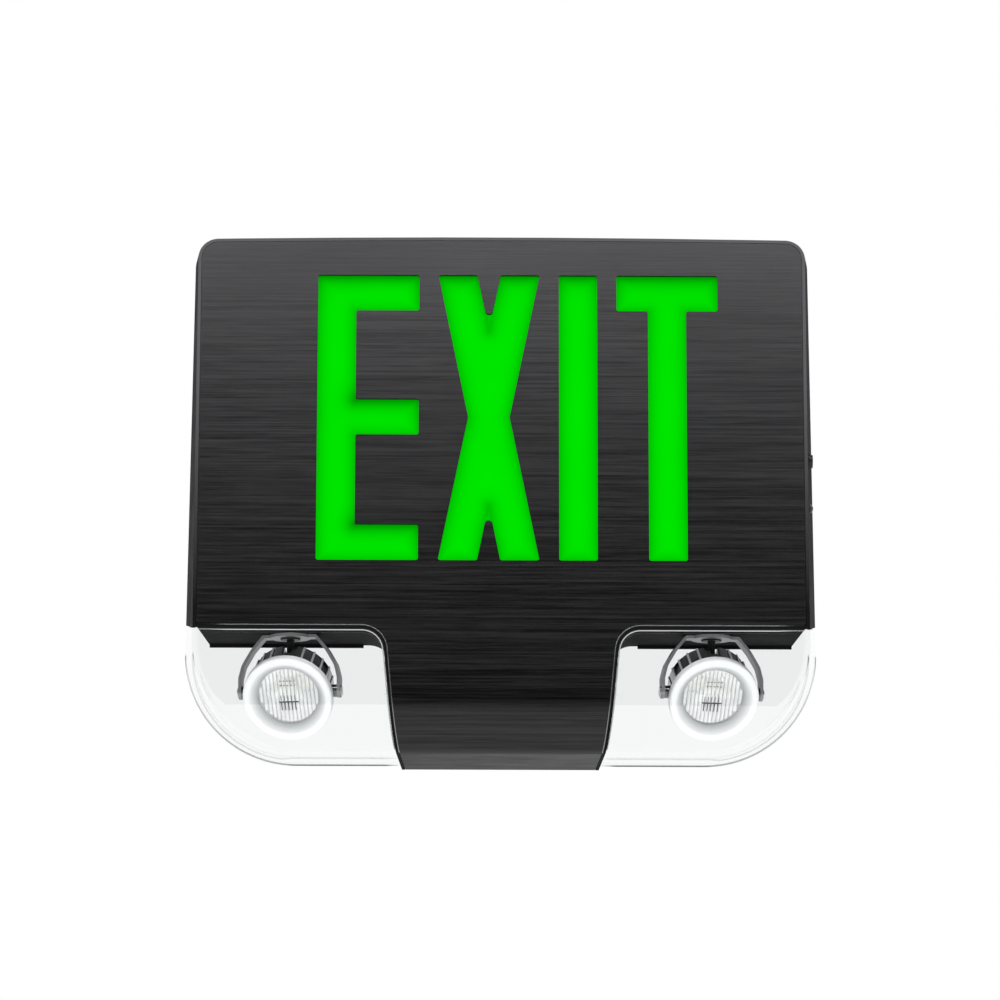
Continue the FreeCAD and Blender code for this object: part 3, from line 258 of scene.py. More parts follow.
def powder_coated_casting(base, painted_highlight):
    """Fine-grained powder coat on die-cast aluminium, too rough to mirror the floor at low angles. The
    narrow rim that faces forward gets a painted highlight, bright beside the plate and fading towards the
    lamp bays."""
    made, tree, shader, place = surface("powder_coat_on_casting", base, 0.6, Specular_IOR_Level=0.015)
    peel = pattern(tree, place, 0.7 * MM, detail=2.0)
    patch = pattern(tree, place, 24 * MM)
    tree.links.new(spread(tree, patch, 0.55, 0.68), shader.inputs["Roughness"])
    coat = tint(tree, patch, shade(base, 0.85), shade(base, 1.15))
    turned = add(tree, "ShaderNodeSeparateXYZ", {0: add(tree, "ShaderNodeTexCoord").outputs["Normal"]})
    height = add(tree, "ShaderNodeSeparateXYZ", {0: place})
    # Painted highlight: the rim that faces forward is lighter, fading from high up towards the bottom.
    front = spread(tree, turned.outputs["Y"], 1.0, 0.0, -0.95, -0.8)
    high = spread(tree, height.outputs["Z"], 0.0, 1.0, -90 * MM, 30 * MM)
    painted_rim_highlight = add(tree, "ShaderNodeMath", {0: front, 1: high}, operation="MULTIPLY").outputs[0]
    both = add(tree, "ShaderNodeMix", {0: painted_rim_highlight, 6: coat}, data_type="RGBA")
    both.inputs[7].default_value = painted_highlight
    tree.links.new(both.outputs[2], shader.inputs["Base Color"])
    bump(tree, shader, peel, 0.03 * MM, 0.5)
    return made


def brushed_anodised_aluminium(base):
    """Black anodised sheet brushed from side to side: long fine scratches of uneven length and depth.
    Real scratches are 0.05 mm wide, so they are drawn 0.4 mm wide to show at this size."""
    made, tree, shader, place = surface("brushed_black_anodised_aluminium", base, 0.36, 1.0,
                                        Specular_Tint=(0.6, 0.6, 0.6, 1.0))
    fine = pattern(tree, place, 0.4 * MM, (0.018, 0.018, 1.0), 4.0, 0.7)
    broad = pattern(tree, place, 0.9 * MM, (0.008, 0.008, 1.0), 3.0, 0.6)
    patch = pattern(tree, place, 60 * MM, (0.5, 0.5, 1.0))
    lines = add(tree, "ShaderNodeMath", {0: fine, 1: broad}, operation="ADD").outputs[0]
    line = spread(tree, lines, 0.0, 1.0, 0.78, 1.22)
    tree.links.new(tint(tree, line, shade(base, 0.72), shade(base, 1.32)), shader.inputs["Base Color"])
    both = add(tree, "ShaderNodeMath", {0: spread(tree, lines, 0.30, 0.44, 0.8, 1.2),
                                        1: spread(tree, patch, -0.03, 0.03)}, operation="ADD")
    tree.links.new(both.outputs[0], shader.inputs["Roughness"])
    bump(tree, shader, lines, 0.03 * MM, 0.35)
    return made


def lit_legend_acrylic(base, edge):
    """Translucent green acrylic lit evenly from behind, with painted shade: it darkens towards the plate's
    cut edges, and more under their upper sides. The "edge" and "under" attributes rise from 0 at a cut to 1
    inside."""
    black = (0.0, 0.0, 0.0, 1.0)
    made, tree, shader, place = surface("lit_green_acrylic", black, 0.3, Specular_IOR_Level=0.0)
    near = add(tree, "ShaderNodeAttribute", attribute_name="edge").outputs["Fac"]
    under = add(tree, "ShaderNodeAttribute", attribute_name="under").outputs["Fac"]
    cloud = pattern(tree, place, 30 * MM)
    # Painted shade: colour and power drop near the cuts and under their upper sides.
    tree.links.new(tint(tree, near, edge, base), shader.inputs["Emission Color"])
    power = add(tree, "ShaderNodeMath", {0: spread(tree, cloud, 0.98, 1.02),
                                         1: spread(tree, under, 0.55, 1.0, 0.0, 1.0)}, operation="MULTIPLY")
    tree.links.new(power.outputs[0], shader.inputs["Emission Strength"])
    return made


def clear_polycarbonate(base):
    """Injection-moulded clear polycarbonate: a thin wall that bends no light, with a sharp reflection
    that grows as 0.05 + 0.95 times one less the cosine of the angle, to the fifth (for its index, 1.585)."""
    made, tree, shader, place = surface("clear_polycarbonate", (1, 1, 1, 1), 0.02, 1.0)
    flow = pattern(tree, place, 26 * MM, detail=1.0)
    bump(tree, shader, flow, 0.12 * MM, 0.25)
    facing = add(tree, "ShaderNodeLayerWeight", Blend=0.5).outputs["Facing"]
    steep = add(tree, "ShaderNodeMath", {0: facing}, operation="POWER")
    steep.inputs[1].default_value = 5.0
    share = spread(tree, steep.outputs[0], 0.05, 1.0, 0.0, 1.0)
    through = add(tree, "ShaderNodeBsdfTransparent", Color=base)
    mixed = add(tree, "ShaderNodeMixShader",
                {0: share, 1: through.outputs["BSDF"], 2: shader.outputs["BSDF"]})
    tree.links.new(mixed.outputs["Shader"], tree.nodes["Material Output"].inputs["Surface"])
    return made


def gloss_white_abs(side, sizes, base, shaded):
    """Gloss white moulded ABS with a faint soft unevenness. Its mouth has painted shade, going grey towards
    the glass, where the ring shuts out the room: the distance from the lamp's axis is the length of the cross
    product of the axis and the way from the pivot."""
    made, tree, shader, place = surface(side + "_gloss_white_abs", base, 0.2, IOR=1.54)
    patch = pattern(tree, place, 9 * MM)
    tree.links.new(spread(tree, patch, 0.16, 0.26), shader.inputs["Roughness"])
    pivot, axes, _ = lamp_axes(side)
    away = add(tree, "ShaderNodeVectorMath", {0: place}, operation="SUBTRACT")
    away.inputs[1].default_value = pivot
    across = add(tree, "ShaderNodeVectorMath", {0: away.outputs["Vector"]}, operation="CROSS_PRODUCT")
    across.inputs[1].default_value = axes[2]
    radius = add(tree, "ShaderNodeVectorMath", {0: across.outputs["Vector"]}, operation="LENGTH")
    # Painted shade: grey deeper in the mouth, towards the glass.
    depth = spread(tree, radius.outputs["Value"], 0.0, 1.0, sizes.glass_opening, sizes.mouth_radius)
    tree.links.new(tint(tree, depth, shaded, base), shader.inputs["Base Color"])
    bump(tree, shader, pattern(tree, place, 3 * MM, detail=1.0), 0.02 * MM, 0.3)
    return made


def fluted_glass():
    """Pressed clear glass with slight swirls; the valleys between its flutes are tinted grey, painted shade
    that draws fine grey lines. The "valley" attribute is 1 in a valley and 0 on a flute."""
    made, tree, shader, place = surface("pressed_clear_glass", linear("#fcfdfd"), 0.01, IOR=1.5,
                                        Transmission_Weight=1.0)
    valley = add(tree, "ShaderNodeAttribute", attribute_name="valley").outputs["Fac"]
    # Painted shade: grey in the valleys between the flutes.
    tree.links.new(tint(tree, valley, linear("#ffffff"), linear("#8e9092")), shader.inputs["Base Color"])
    bump(tree, shader, pattern(tree, place, 4 * MM, detail=1.0), 0.03 * MM, 0.3)
    return made


def chromed(name, code, low, high):
    """Chrome plating: a bright mirror with faint polishing haze."""
    made, tree, shader, place = surface(name, linear(code), low, 1.0)
    haze = pattern(tree, place, 5 * MM)
    tree.links.new(spread(tree, haze, low, high), shader.inputs["Roughness"])
    bump(tree, shader, pattern(tree, place, 1.5 * MM, detail=1.0), 0.01 * MM, 0.3)
    return made


def rolled_steel(name, code, grain):
    """Nickel or zinc plated sheet: rolling lines along the strap and a little mottling."""
    made, tree, shader, place = surface(name, linear(code), 0.3, 1.0)
    rolling = pattern(tree, place, 0.6 * MM, grain, 3.0, 0.6)
    mottle = pattern(tree, place, 4 * MM)
    tree.links.new(spread(tree, rolling, 0.24, 0.4), shader.inputs["Roughness"])
    base = linear(code)
    tree.links.new(tint(tree, mottle, shade(base, 0.85), shade(base, 1.1)), shader.inputs["Base Color"])
    bump(tree, shader, rolling, 0.01 * MM, 0.4)
    return made


def moulded(name, code, roughness, grit=0.6, relief=0.02, **sockets):
    """Moulded plastic, resin or sleeve: spark-eroded grain of that many millimetres."""
    made, tree, shader, place = surface(name, linear(code), roughness, **sockets)
    grain = pattern(tree, place, grit * MM, detail=2.0)
    patch = pattern(tree, place, 12 * MM)
    base = linear(code)
    tree.links.new(tint(tree, patch, shade(base, 0.92), shade(base, 1.06)), shader.inputs["Base Color"])
    lustre = spread(tree, grain, roughness * 0.85, min(1.0, roughness * 1.2))
    tree.links.new(lustre, shader.inputs["Roughness"])
    bump(tree, shader, grain, relief * MM, 0.5)
    return made


def circuit_laminate(name, dark, light):
    """Glass-epoxy board: solder mask over copper tracks that show as paler lanes."""
    made, tree, shader, place = surface(name, linear(dark), 0.35, Coat_Weight=0.3)
    moved = add(tree, "ShaderNodeMapping", {"Vector": place}, Scale=(1 / (5 * MM),) * 3)
    lanes = add(tree, "ShaderNodeTexBrick", {"Vector": moved.outputs["Vector"]}, Scale=1.0)
    for socket, value in (("Color1", linear(dark)), ("Color2", linear(dark)), ("Mortar", linear(light)),
                          ("Mortar Size", 0.06)):
        lanes.inputs[socket].default_value = value
    tree.links.new(lanes.outputs["Color"], shader.inputs["Base Color"])
    bump(tree, shader, lanes.outputs["Fac"], 0.03 * MM, 0.5)
    return made


# Surfaces worked out as whole arrays


def mesh_object(name, points, faces, material, body, smooth=True):
    """Puts vertices and faces into a new object at the origin that rides on a body."""
    mesh = bpy.data.meshes.new(name)
    mesh.from_pydata(points.tolist(), [], faces.tolist())
    mesh.validate()
    mesh.polygons.foreach_set("use_smooth", np.full(len(mesh.polygons), smooth))
    mesh.materials.append(material)
    mesh.update()
    piece = bpy.data.objects.new(name, mesh)
    bpy.context.scene.collection.objects.link(piece)
    if body:
        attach(piece, body)
    return piece


def grid_faces(rows, columns, wrap_columns=False):
    """Quads of a rows by columns grid of points, numbered row by row; the last column can join the first."""
    i = np.arange(rows - 1)[:, None]
    j = np.arange(columns if wrap_columns else columns - 1)[None, :]
    k = (j + 1) % columns
    above, below = i * columns, (i + 1) * columns
    quads = np.stack([above + j, above + k, below + k, below + j], axis=-1)
    return quads.reshape(-1, 4)


def closed_slab(front, back, rows, columns):
    """Points and faces of a thin body: a grid in front, one behind, and a rim round both."""
    quads = grid_faces(rows, columns)
    size = rows * columns
    index = np.arange(size).reshape(rows, columns)
    rim = np.concatenate([index[0], index[1:, -1], index[-1, -2::-1], index[-2:0:-1, 0]])
    after = np.roll(rim, -1)
    sides = np.stack([rim, rim + size, after + size, after], axis=1)
    return np.concatenate([front, back]), np.concatenate([quads[:, ::-1], quads + size, sides[:, ::-1]])


def bricks(boxes):
    """Points and faces of boxes given as (centre, half size) in three directions: each corner is the
    centre plus or minus the half sizes."""
    centres, halves = np.array(boxes, float).transpose(1, 0, 2)
    signs = np.array([(-1, -1, -1), (1, -1, -1), (1, 1, -1), (-1, 1, -1),
                      (-1, -1, 1), (1, -1, 1), (1, 1, 1), (-1, 1, 1)], float)
    points = (centres[:, None] + halves[:, None] * signs).reshape(-1, 3)
    one = np.array([(0, 3, 2, 1), (4, 5, 6, 7), (0, 1, 5, 4), (1, 2, 6, 5), (2, 3, 7, 6), (3, 0, 4, 7)])
    return points, (one + 8 * np.arange(len(boxes))[:, None, None]).reshape(-1, 4)


def outward(points, faces):
    """The same faces, turned over if the body's volume comes out negative."""
    a, b, c = (points[faces[:, i]] for i in range(3))
    d = points[faces[:, 3]]
    volume = (np.cross(a, b) * c).sum() + (np.cross(a, c) * d).sum()
    return faces if volume > 0 else faces[:, ::-1]


def lamp_axes(side):
    """Pivot of a lamp and its across, up and forward directions; the middle of the glass lies forward."""
    pivot = np.array(joint(side + "_tilt")["pos_m"], float)
    across = np.array(joint(side + "_tilt")["axis"], float)
    across /= np.linalg.norm(across)
    low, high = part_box(side + "_glass")
    ahead = np.array((low + high) / 2) - pivot
    reach = np.linalg.norm(ahead)
    forward = ahead / reach
    return pivot, np.stack([across, np.cross(forward, across), forward]), reach


def fluted_disc(side, sizes, material):
    """Lamp glass with upright flutes. Column j stands at x_j across the disc and runs up and down the
    chord, half as long as the root of R squared less x squared; within the opening the front sinks by
    the flute depth times the square of the sine of pi x over the pitch."""
    pivot, axes, reach = lamp_axes(side)
    radius = sizes.glass_radius
    columns, rows = 241, 25
    x, t = np.meshgrid(np.linspace(-0.9995, 0.9995, columns) * radius, np.linspace(-1, 1, rows))
    y = t * np.sqrt(radius ** 2 - x ** 2)
    inside = np.clip((sizes.glass_opening - np.hypot(x, y)) / (0.6 * MM), 0, 1)
    sink = sizes.flute_depth * np.sin(math.pi * x / sizes.flute_pitch) ** 2 * inside
    front = np.stack([x, y, reach + sizes.glass_thickness / 2 - sink], axis=-1).reshape(-1, 3)
    back = np.stack([x, y, np.full_like(x, reach - sizes.glass_thickness / 2)], axis=-1).reshape(-1, 3)
    points, faces = closed_slab(front, back, rows, columns)
    points = pivot + points @ axes
    disc = mesh_object(side + "_fluted_glass", points, outward(points, faces), material,
                       side + "_lamp")
    valley = (np.sin(math.pi * x / sizes.flute_pitch) ** 8 * inside).ravel()
    layer = disc.data.attributes.new("valley", "FLOAT", "POINT")
    layer.data.foreach_set("value", np.concatenate([valley, 0 * valley]).astype(np.float32))
    return disc


def light_engine(side, sizes, dark):
    """Contacts of the light source, drawn just in front of the glass: two rows of five dies above the
    middle, and below it a thin bar with five fingers either way from it, like a comb."""
    pivot, axes, reach = lamp_axes(side)
    front = reach + sizes.glass_thickness / 2 + sizes.contact_lift
    thin = sizes.contact_lift / 2
    columns = [i * sizes.contact_pitch for i in range(-2, 3)]
    marks = [((x, y * MM, front), (sizes.die / 2, sizes.die * 0.3, thin))
             for x in columns for y in (5.9, 8.3)]
    marks.append(((-0.2 * MM, -3.3 * MM, front), (5.0 * MM, 0.35 * MM, thin)))
    for y, half_width, half_height in ((-5.8, 0.28, 2.1), (-1.2, 0.18, 1.5)):
        marks += [((x - 0.5 * MM, y * MM, front), (half_width * MM, half_height * MM, thin)) for x in columns]
    points, faces = bricks(marks)
    points = pivot + points @ axes
    mesh_object(side + "_contacts", points, outward(points, faces), dark, side + "_lamp",
                smooth=False)


def painted_rib_highlights(side, sizes, material):
    """Painted highlights on the ribs round a lamp's barrel, white bars on their tops: one bar above the axis,
    turned about the axis to each rib's angle; the ribs at the slot, at the pivots and below are left out."""
    pivot, axes, _ = lamp_axes(side)
    reach = sizes.barrel_radius + sizes.rib_lift
    bar, sides = bricks([((0, reach, -3.5 * MM), (0.55 * MM, 0.15 * MM, 6.8 * MM))])
    turns = (np.arange(RIBS) + 0.5) * math.pi / (RIBS / 2)
    beside_slots = 0.985
    turns = turns[(np.abs(np.cos(turns)) < beside_slots) & (np.abs(np.sin(turns)) < beside_slots)]
    c, s = np.cos(turns)[:, None], np.sin(turns)[:, None]
    x, y, z = bar.T
    points = np.stack([x * c + y * s, y * c - x * s, np.tile(z, (len(turns), 1))], axis=-1).reshape(-1, 3)
    faces = (sides + 8 * np.arange(len(turns))[:, None, None]).reshape(-1, 4)
    points = pivot + points @ axes
    mesh_object(side + "_rib_caps", points, outward(points, faces), material, side + "_lamp",
                smooth=False)


def letter_outlines(sizes):
    """Corners of E, X, I and T across and down from the legend's top left, each a closed polygon."""
    w, h, s = sizes.letter_width, sizes.letter_height, sizes.stroke
    mid = (h - s) / 2
    notch = w / 2 - sizes.arm_width
    waist = sizes.waist_width / 2
    crotch = notch * (h / 2) / (w / 2 - waist)
    m = w / 2
    t = (w - s) / 2
    e = [(0, 0), (w, 0), (w, s), (s, s), (s, mid), (w, mid), (w, mid + s), (s, mid + s), (s, h - s),
         (w, h - s), (w, h), (0, h)]
    x = [(0, 0), (m - notch, 0), (m, crotch), (m + notch, 0), (w, 0), (m + waist, h / 2), (w, h),
         (m + notch, h), (m, h - crotch), (m - notch, h), (0, h), (m - waist, h / 2)]
    i = [(0, 0), (s, 0), (s, h), (0, h)]
    tee = [(0, 0), (w, 0), (w, s), (t + s, s), (t + s, h), (t, h), (t, s), (0, s)]
    starts = np.cumsum([0, w + sizes.letter_gap, w + sizes.letter_gap, s + sizes.letter_gap])
    return [np.array(points) + (start, 0) for points, start in zip((e, x, i, tee), starts)]


def distance_to_sides(points, starts, ends):
    """Distance from each 2-D point to the nearest of some straight sides: the point is projected on
    each side, the projection is held between the side's ends, and the least distance is kept."""
    side = ends - starts
    offset = points[:, None, :] - starts[None]
    share = np.clip((offset * side).sum(-1) / (side * side).sum(-1), 0, 1)
    return np.linalg.norm(offset - share[..., None] * side, axis=-1).min(axis=1)


def leaning_slab(box, thickness):
    """Corner, across, down and inward directions of a slab that leans back, worked out from its box:
    a slab of height h and thickness t at a lean L is h cos L + t sin L high and h sin L + t cos L deep."""
    low, high = box
    tall, deep = high.z - low.z, high.y - low.y
    lean = 0.0
    height = tall
    for _ in range(20):
        lean = math.asin((deep - thickness * math.cos(lean)) / height)
        height = (tall - thickness * math.sin(lean)) / math.cos(lean)
    down = np.array([0, -math.sin(lean), -math.cos(lean)])
    inward = np.array([0, math.cos(lean), -math.sin(lean)])
    corner = np.array([low.x, high.y - thickness * math.cos(lean), high.z])
    return corner, np.array([1.0, 0, 0]), down, inward, high.x - low.x, height


def legend_slab(sizes, material):
    """Lit panel behind the cut letters: a fine grid on its front and a plain back, joined round the rim.
    A front point lies at the corner plus u across and v down."""
    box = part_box("legend_panel")
    corner, across, down, inward, width, height = leaning_slab(box, sizes.panel_thickness)
    step = 0.8 * MM
    columns, rows = int(width / step), int(height / step)
    u, v = np.meshgrid(np.linspace(0, width, columns), np.linspace(0, height, rows))
    flat = np.stack([u.ravel(), v.ravel()], axis=1)
    front = corner + flat[:, :1] * across + flat[:, 1:] * down
    back = front + inward * sizes.panel_thickness
    points, faces = closed_slab(front, back, rows, columns)
    piece = mesh_object("lit_legend", points, outward(points, faces), material, "root",
                        smooth=False)
    outlines = letter_outlines(sizes)
    starts = np.concatenate(outlines)
    ends = np.concatenate([np.roll(outline, -1, axis=0) for outline in outlines])
    upper = (ends - starts)[:, 0] > np.abs((ends - starts)[:, 1])
    place = flat - sizes.panel_margin
    # Painted shade: the "edge" and "under" attributes darken the legend near the cuts.
    for name, reach, chosen in (("edge", sizes.edge_glow, slice(None)), ("under", sizes.under_glow, upper)):
        distance = distance_to_sides(place, starts[chosen], ends[chosen])
        rise = 1 - np.exp(-(distance / reach) ** 1.2)
        layer = piece.data.attributes.new(name, "FLOAT", "POINT")
        layer.data.foreach_set("value", np.concatenate([rise, rise]).astype(np.float32))
    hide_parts("legend_panel")
    return piece


def tube(path, radii, around=24):
    """Points and faces of a tube closed round its path: each ring is the path point plus its radius times the
    cosine and sine of the angle along two directions square to the path; no caps are added at its ends."""
    path = np.asarray(path, float)
    along = np.gradient(path, axis=0)
    along /= np.linalg.norm(along, axis=1)[:, None]
    first = np.cross(along, (1.0, 1.0, 1.0))
    first /= np.linalg.norm(first, axis=1)[:, None]
    second = np.cross(along, first)
    angle = np.linspace(0, 2 * math.pi, around, endpoint=False)
    ring = np.cos(angle)[None, :, None] * first[:, None] + np.sin(angle)[None, :, None] * second[:, None]
    points = (path[:, None] + ring * np.asarray(radii)[:, None, None]).reshape(-1, 3)
    faces = grid_faces(len(path), around, True)
    return points, faces


def capped_tube(name, path, radii, material, body, around=24):
    """A tube whose first and last radius are near nothing, so that its ends close."""
    points, faces = tube(path, radii, around)
    return mesh_object(name, points, faces, material, body)


def corner_arc(corner, before, after, radius, count=14):
    """Points of the arc of that radius that is tangent to both lines through a corner; the lines run
    from the corner towards the points before and after it."""
    u, w = (v / np.linalg.norm(v) for v in (before - corner, after - corner))
    half = math.acos(np.clip(u @ w, -1, 1)) / 2
    middle = (u + w) / np.linalg.norm(u + w)
    centre = corner + middle * radius / math.sin(half)
    spoke = corner + u * radius / math.tan(half) - centre
    other = corner + w * radius / math.tan(half) - centre
    sweep = math.pi - 2 * half
    t = np.linspace(0, 1, count)[:, None]
    return centre + (np.sin((1 - t) * sweep) * spoke + np.sin(t * sweep) * other) / math.sin(sweep)


def bay_edge(sizes, inset, set_back, side):
    """Path beside a lamp bay: in along the ceiling's front edge, round the corner, down the neck and
    under the bend, a set inset inside the casting's outline and a set-back behind the face."""
    lean, rise = math.tan(sizes.face_lean), math.tan(sizes.foot_rise)

    def face(z):
        return sizes.face_out + (sizes.face_top - z) * lean - set_back / math.cos(sizes.face_lean)

    def neck(z, depth):
        return sizes.neck_half + (z - sizes.foot) * math.tan(sizes.neck_taper) \
            + depth * math.tan(sizes.neck_draft) - inset

    top = joint(side + "_swivel")["pos_m"][2] + inset
    floor = sizes.foot + set_back / math.cos(sizes.foot_rise)
    toe = face(floor) / (1 + rise * lean)
    front_z = floor + toe * rise
    bend = corner_arc(np.array([toe, front_z]), np.array([face(top), top]), np.array([0.0, floor]),
                      sizes.bend_radius - set_back)
    low = bend[0, 1]
    corner = np.array([neck(top, face(top)), top])
    notch = corner_arc(corner, corner + (1.0, 0.0), np.array([neck(low, face(low)), low]),
                       sizes.notch_radius + inset)
    start = np.array([[sizes.half_width - 6 * MM, top]])
    flat = np.concatenate([np.linspace(start, notch[:1], LINE_POINTS)[:-1, 0], notch])
    down = np.linspace(notch[-1], [neck(low, face(low)), low], 6)[1:-1]
    flat = np.concatenate([flat, down])
    upper = np.stack([flat[:, 0], -face(flat[:, 1]), flat[:, 1]], axis=1)
    lower = np.stack([neck(bend[:, 1], bend[:, 0]), -bend[:, 0], bend[:, 1]], axis=1)
    return np.concatenate([upper, lower]) * (dict(SIDES)[side], 1, 1)


def rim_line(sizes, side):
    """Path along a cover's rim at the wall: round its lower outer corner and in along its underside."""
    flare = math.tan(sizes.side_draft)
    low = sizes.foot + sizes.cover_set_back + sizes.edge_radius

    def outer(z):
        lean = sizes.face_out + (sizes.face_top - z) * math.tan(sizes.face_lean)
        return sizes.half_width + lean * flare - sizes.edge_radius

    corner = np.array([outer(low), low])
    top = joint(side + "_swivel")["pos_m"][2]
    neck = np.array([sizes.neck_half + 1.0 * MM, low])
    bend = corner_arc(corner, np.array([outer(top), top]), neck, sizes.cover_corner, 40)
    flat = np.concatenate([bend, np.linspace(bend[-1], neck, LINE_POINTS)[1:]])
    return np.stack([flat[:, 0] * dict(SIDES)[side], np.full(len(flat), -0.9 * MM), flat[:, 1]], axis=1)


def joint(name):
    """The frame's joint of that name."""
    return next(j for j in frame["joints"] if j["name"] == name)


# Operators


def wear(node, material):
    """Gives a solid its finish; the solid itself is left as it is."""
    slots = frame["nodes"][node].data.materials
    slots.clear()
    slots.append(material)


class EXITLIGHT_OT_housing(bpy.types.Operator):
    """Finish the casting and the brushed face plate"""

    bl_idname = "exitlight.housing"
    bl_label = "Housing and face"

    def execute(self, context):
        finishes = context.scene.exit_finishes
        wear("housing", powder_coated_casting(finishes.casting, finishes.painted_rim_highlight))
        wear("face_plate", brushed_anodised_aluminium(finishes.plate))
        # Satin black back, a shade lighter than the casting, and a slightly softer bushing in it.
        wear("back_plate", moulded("black_polycarbonate_back", "#1c1c1d", 0.5, 0.8))
        wear("wire_bushing", moulded("black_nylon_bushing", "#161616", 0.5))
        return {"FINISHED"}


class EXITLIGHT_OT_legend(bpy.types.Operator):
    """Make the lit legend panel and finish the light tray behind it"""

    bl_idname = "exitlight.legend"
    bl_label = "Lit legend"

    def execute(self, context):
        finishes = context.scene.exit_finishes
        legend_slab(context.scene.exit_sizes, lit_legend_acrylic(finishes.legend, finishes.legend_painted_shade))
        # Flat warm white that throws the light of the yellowish LEDs forward.
        wear("light_tray", moulded("matt_white_styrene", "#e9e9e6", 0.7))
        board = circuit_laminate("white_solder_mask", "#e2e5e0", "#c4c9be")
        wear("upper_led_board", board)
        wear("lower_led_board", board)
        wear("legend_leds", moulded("led_resin", "#e8dc8a", 0.25, 0.3))
        wear("tray_screws", rolled_steel("zinc_plated_tray_screws", "#b9babb", EVEN))
        return {"FINISHED"}


class EXITLIGHT_OT_covers(bpy.types.Operator):
    """Finish the clear lamp covers and draw painted highlight and shade lines along their edges and the
    plate's
    """

    bl_idname = "exitlight.covers"
    bl_label = "Clear covers"

    def execute(self, context):
        sizes = context.scene.exit_sizes
        clear = clear_polycarbonate(context.scene.exit_finishes.cover)
        # Thin lines that set the bays off from the white room: light grey painted highlights along the
        # covers' edges and the plate's cut edge, and a dark grey painted shade line along the covers' rims.
        bright = moulded("cover_edge_polycarbonate", "#c4c6c6", 0.3, 0.4)
        lustre = rolled_steel("bare_aluminium_edge", "#8c8c8d", EVEN)
        painted_shade_line = moulded("ground_rim_polycarbonate", "#4c4e50", 0.5, 0.4)
        for side, _ in SIDES:
            wear(side + "_lens", clear)
            frame["nodes"][side + "_lens"].visible_shadow = False
            cover = bay_edge(sizes, -sizes.cover_edge_out, sizes.cover_set_back, side)
            plate = bay_edge(sizes, sizes.plate_edge_in, sizes.plate_edge_depth, side)
            lines = (("cover_edge", cover, bright, 1.0), ("plate_edge", plate, lustre, 1.0),
                     ("cover_rim", rim_line(sizes, side), painted_shade_line, 1.4))
            for name, path, finish, wider in lines:
                radii = np.full(len(path), sizes.edge_radius * wider)
                radii[[0, -1]] = TIP
                capped_tube(side + "_" + name, path, radii, finish, "root", 10)
        return {"FINISHED"}


class EXITLIGHT_OT_hangers(bpy.types.Operator):
    """Finish the yokes and bushes and make the leads"""

    bl_idname = "exitlight.hangers"
    bl_label = "Yokes and leads"

    def execute(self, context):
        sizes = context.scene.exit_sizes
        # Grey satin strap with a soft metal sheen, dull black bush and sleeve, and rivets that glint.
        steel = moulded("satin_nickel_plated_strap", "#98989a", 0.4, Metallic=0.45)
        nylon = moulded("black_nylon", "#141414", 0.45)
        sleeve = moulded("woven_black_sleeve", "#101011", 0.75, 0.5, 0.15)
        rivets = rolled_steel("bright_nickel_rivets", "#e6e6e6", EVEN)
        for side, _ in SIDES:
            wear(side + "_yoke", steel)
            wear(side + "_swivel_bush", nylon)
            wear(side + "_bush_nut", nylon)
            wear(side + "_pivot_rivets", rivets)
            low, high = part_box(side + "_lead")
            centre = (low + high) / 2
            share = np.linspace(0, 1, LEAD_POINTS)
            path = np.stack([np.full(LEAD_POINTS, centre.x), np.full(LEAD_POINTS, centre.y),
                             high.z + (low.z - high.z) * share], axis=1)
            radii = np.full(LEAD_POINTS, sizes.lead_radius)
            radii[[0, -1]] = TIP
            path[1], path[-2] = path[0], path[-1]
            path[1, 2] -= TIP
            path[-2, 2] += TIP
            piece = capped_tube(side + "_lamp_lead", path, radii, sleeve, None)
            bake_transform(piece)
            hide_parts(side + "_lead")
        return {"FINISHED"}


class EXITLIGHT_OT_lamps(bpy.types.Operator):
    """Finish the lamp heads"""

    bl_idname = "exitlight.lamps"
    bl_label = "Lamp heads"

    def execute(self, context):
        sizes = context.scene.exit_sizes
        finishes = context.scene.exit_finishes
        glass = fluted_glass()
        # Pale bowl and chip light the glass from behind, the barrel is a dark mirror with painted highlights
        # on its rib tops, and the contacts are the only dark marks in the middle.
        bowl = moulded("vacuum_metallised_bowl", "#fafafa", 0.2, Metallic=0.45)
        ribs = chromed("dark_chrome_barrel", "#8a8b8d", 0.10, 0.22)
        # Painted highlights: plain white bars on the rib tops.
        painted_highlight = moulded("polished_rib_tops", "#fafafa", 0.3)
        chip = moulded("led_phosphor_and_board", "#f0efe8", 0.35, 0.3)
        contacts = moulded("dark_contacts", "#2c2c2e", 0.4, 0.3)
        for side, _ in SIDES:
            wear(side + "_bezel", gloss_white_abs(side, sizes, finishes.bezel, finishes.mouth))
            disc = fluted_disc(side, sizes, glass)
            disc.visible_shadow = False
            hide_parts(side + "_glass")
            light_engine(side, sizes, contacts)
            painted_rib_highlights(side, sizes, painted_highlight)
            wear(side + "_reflector", bowl)
            wear(side + "_lamp_shell", ribs)
            wear(side + "_rear_cap", ribs)
            wear(side + "_led_chip", chip)
        return {"FINISHED"}


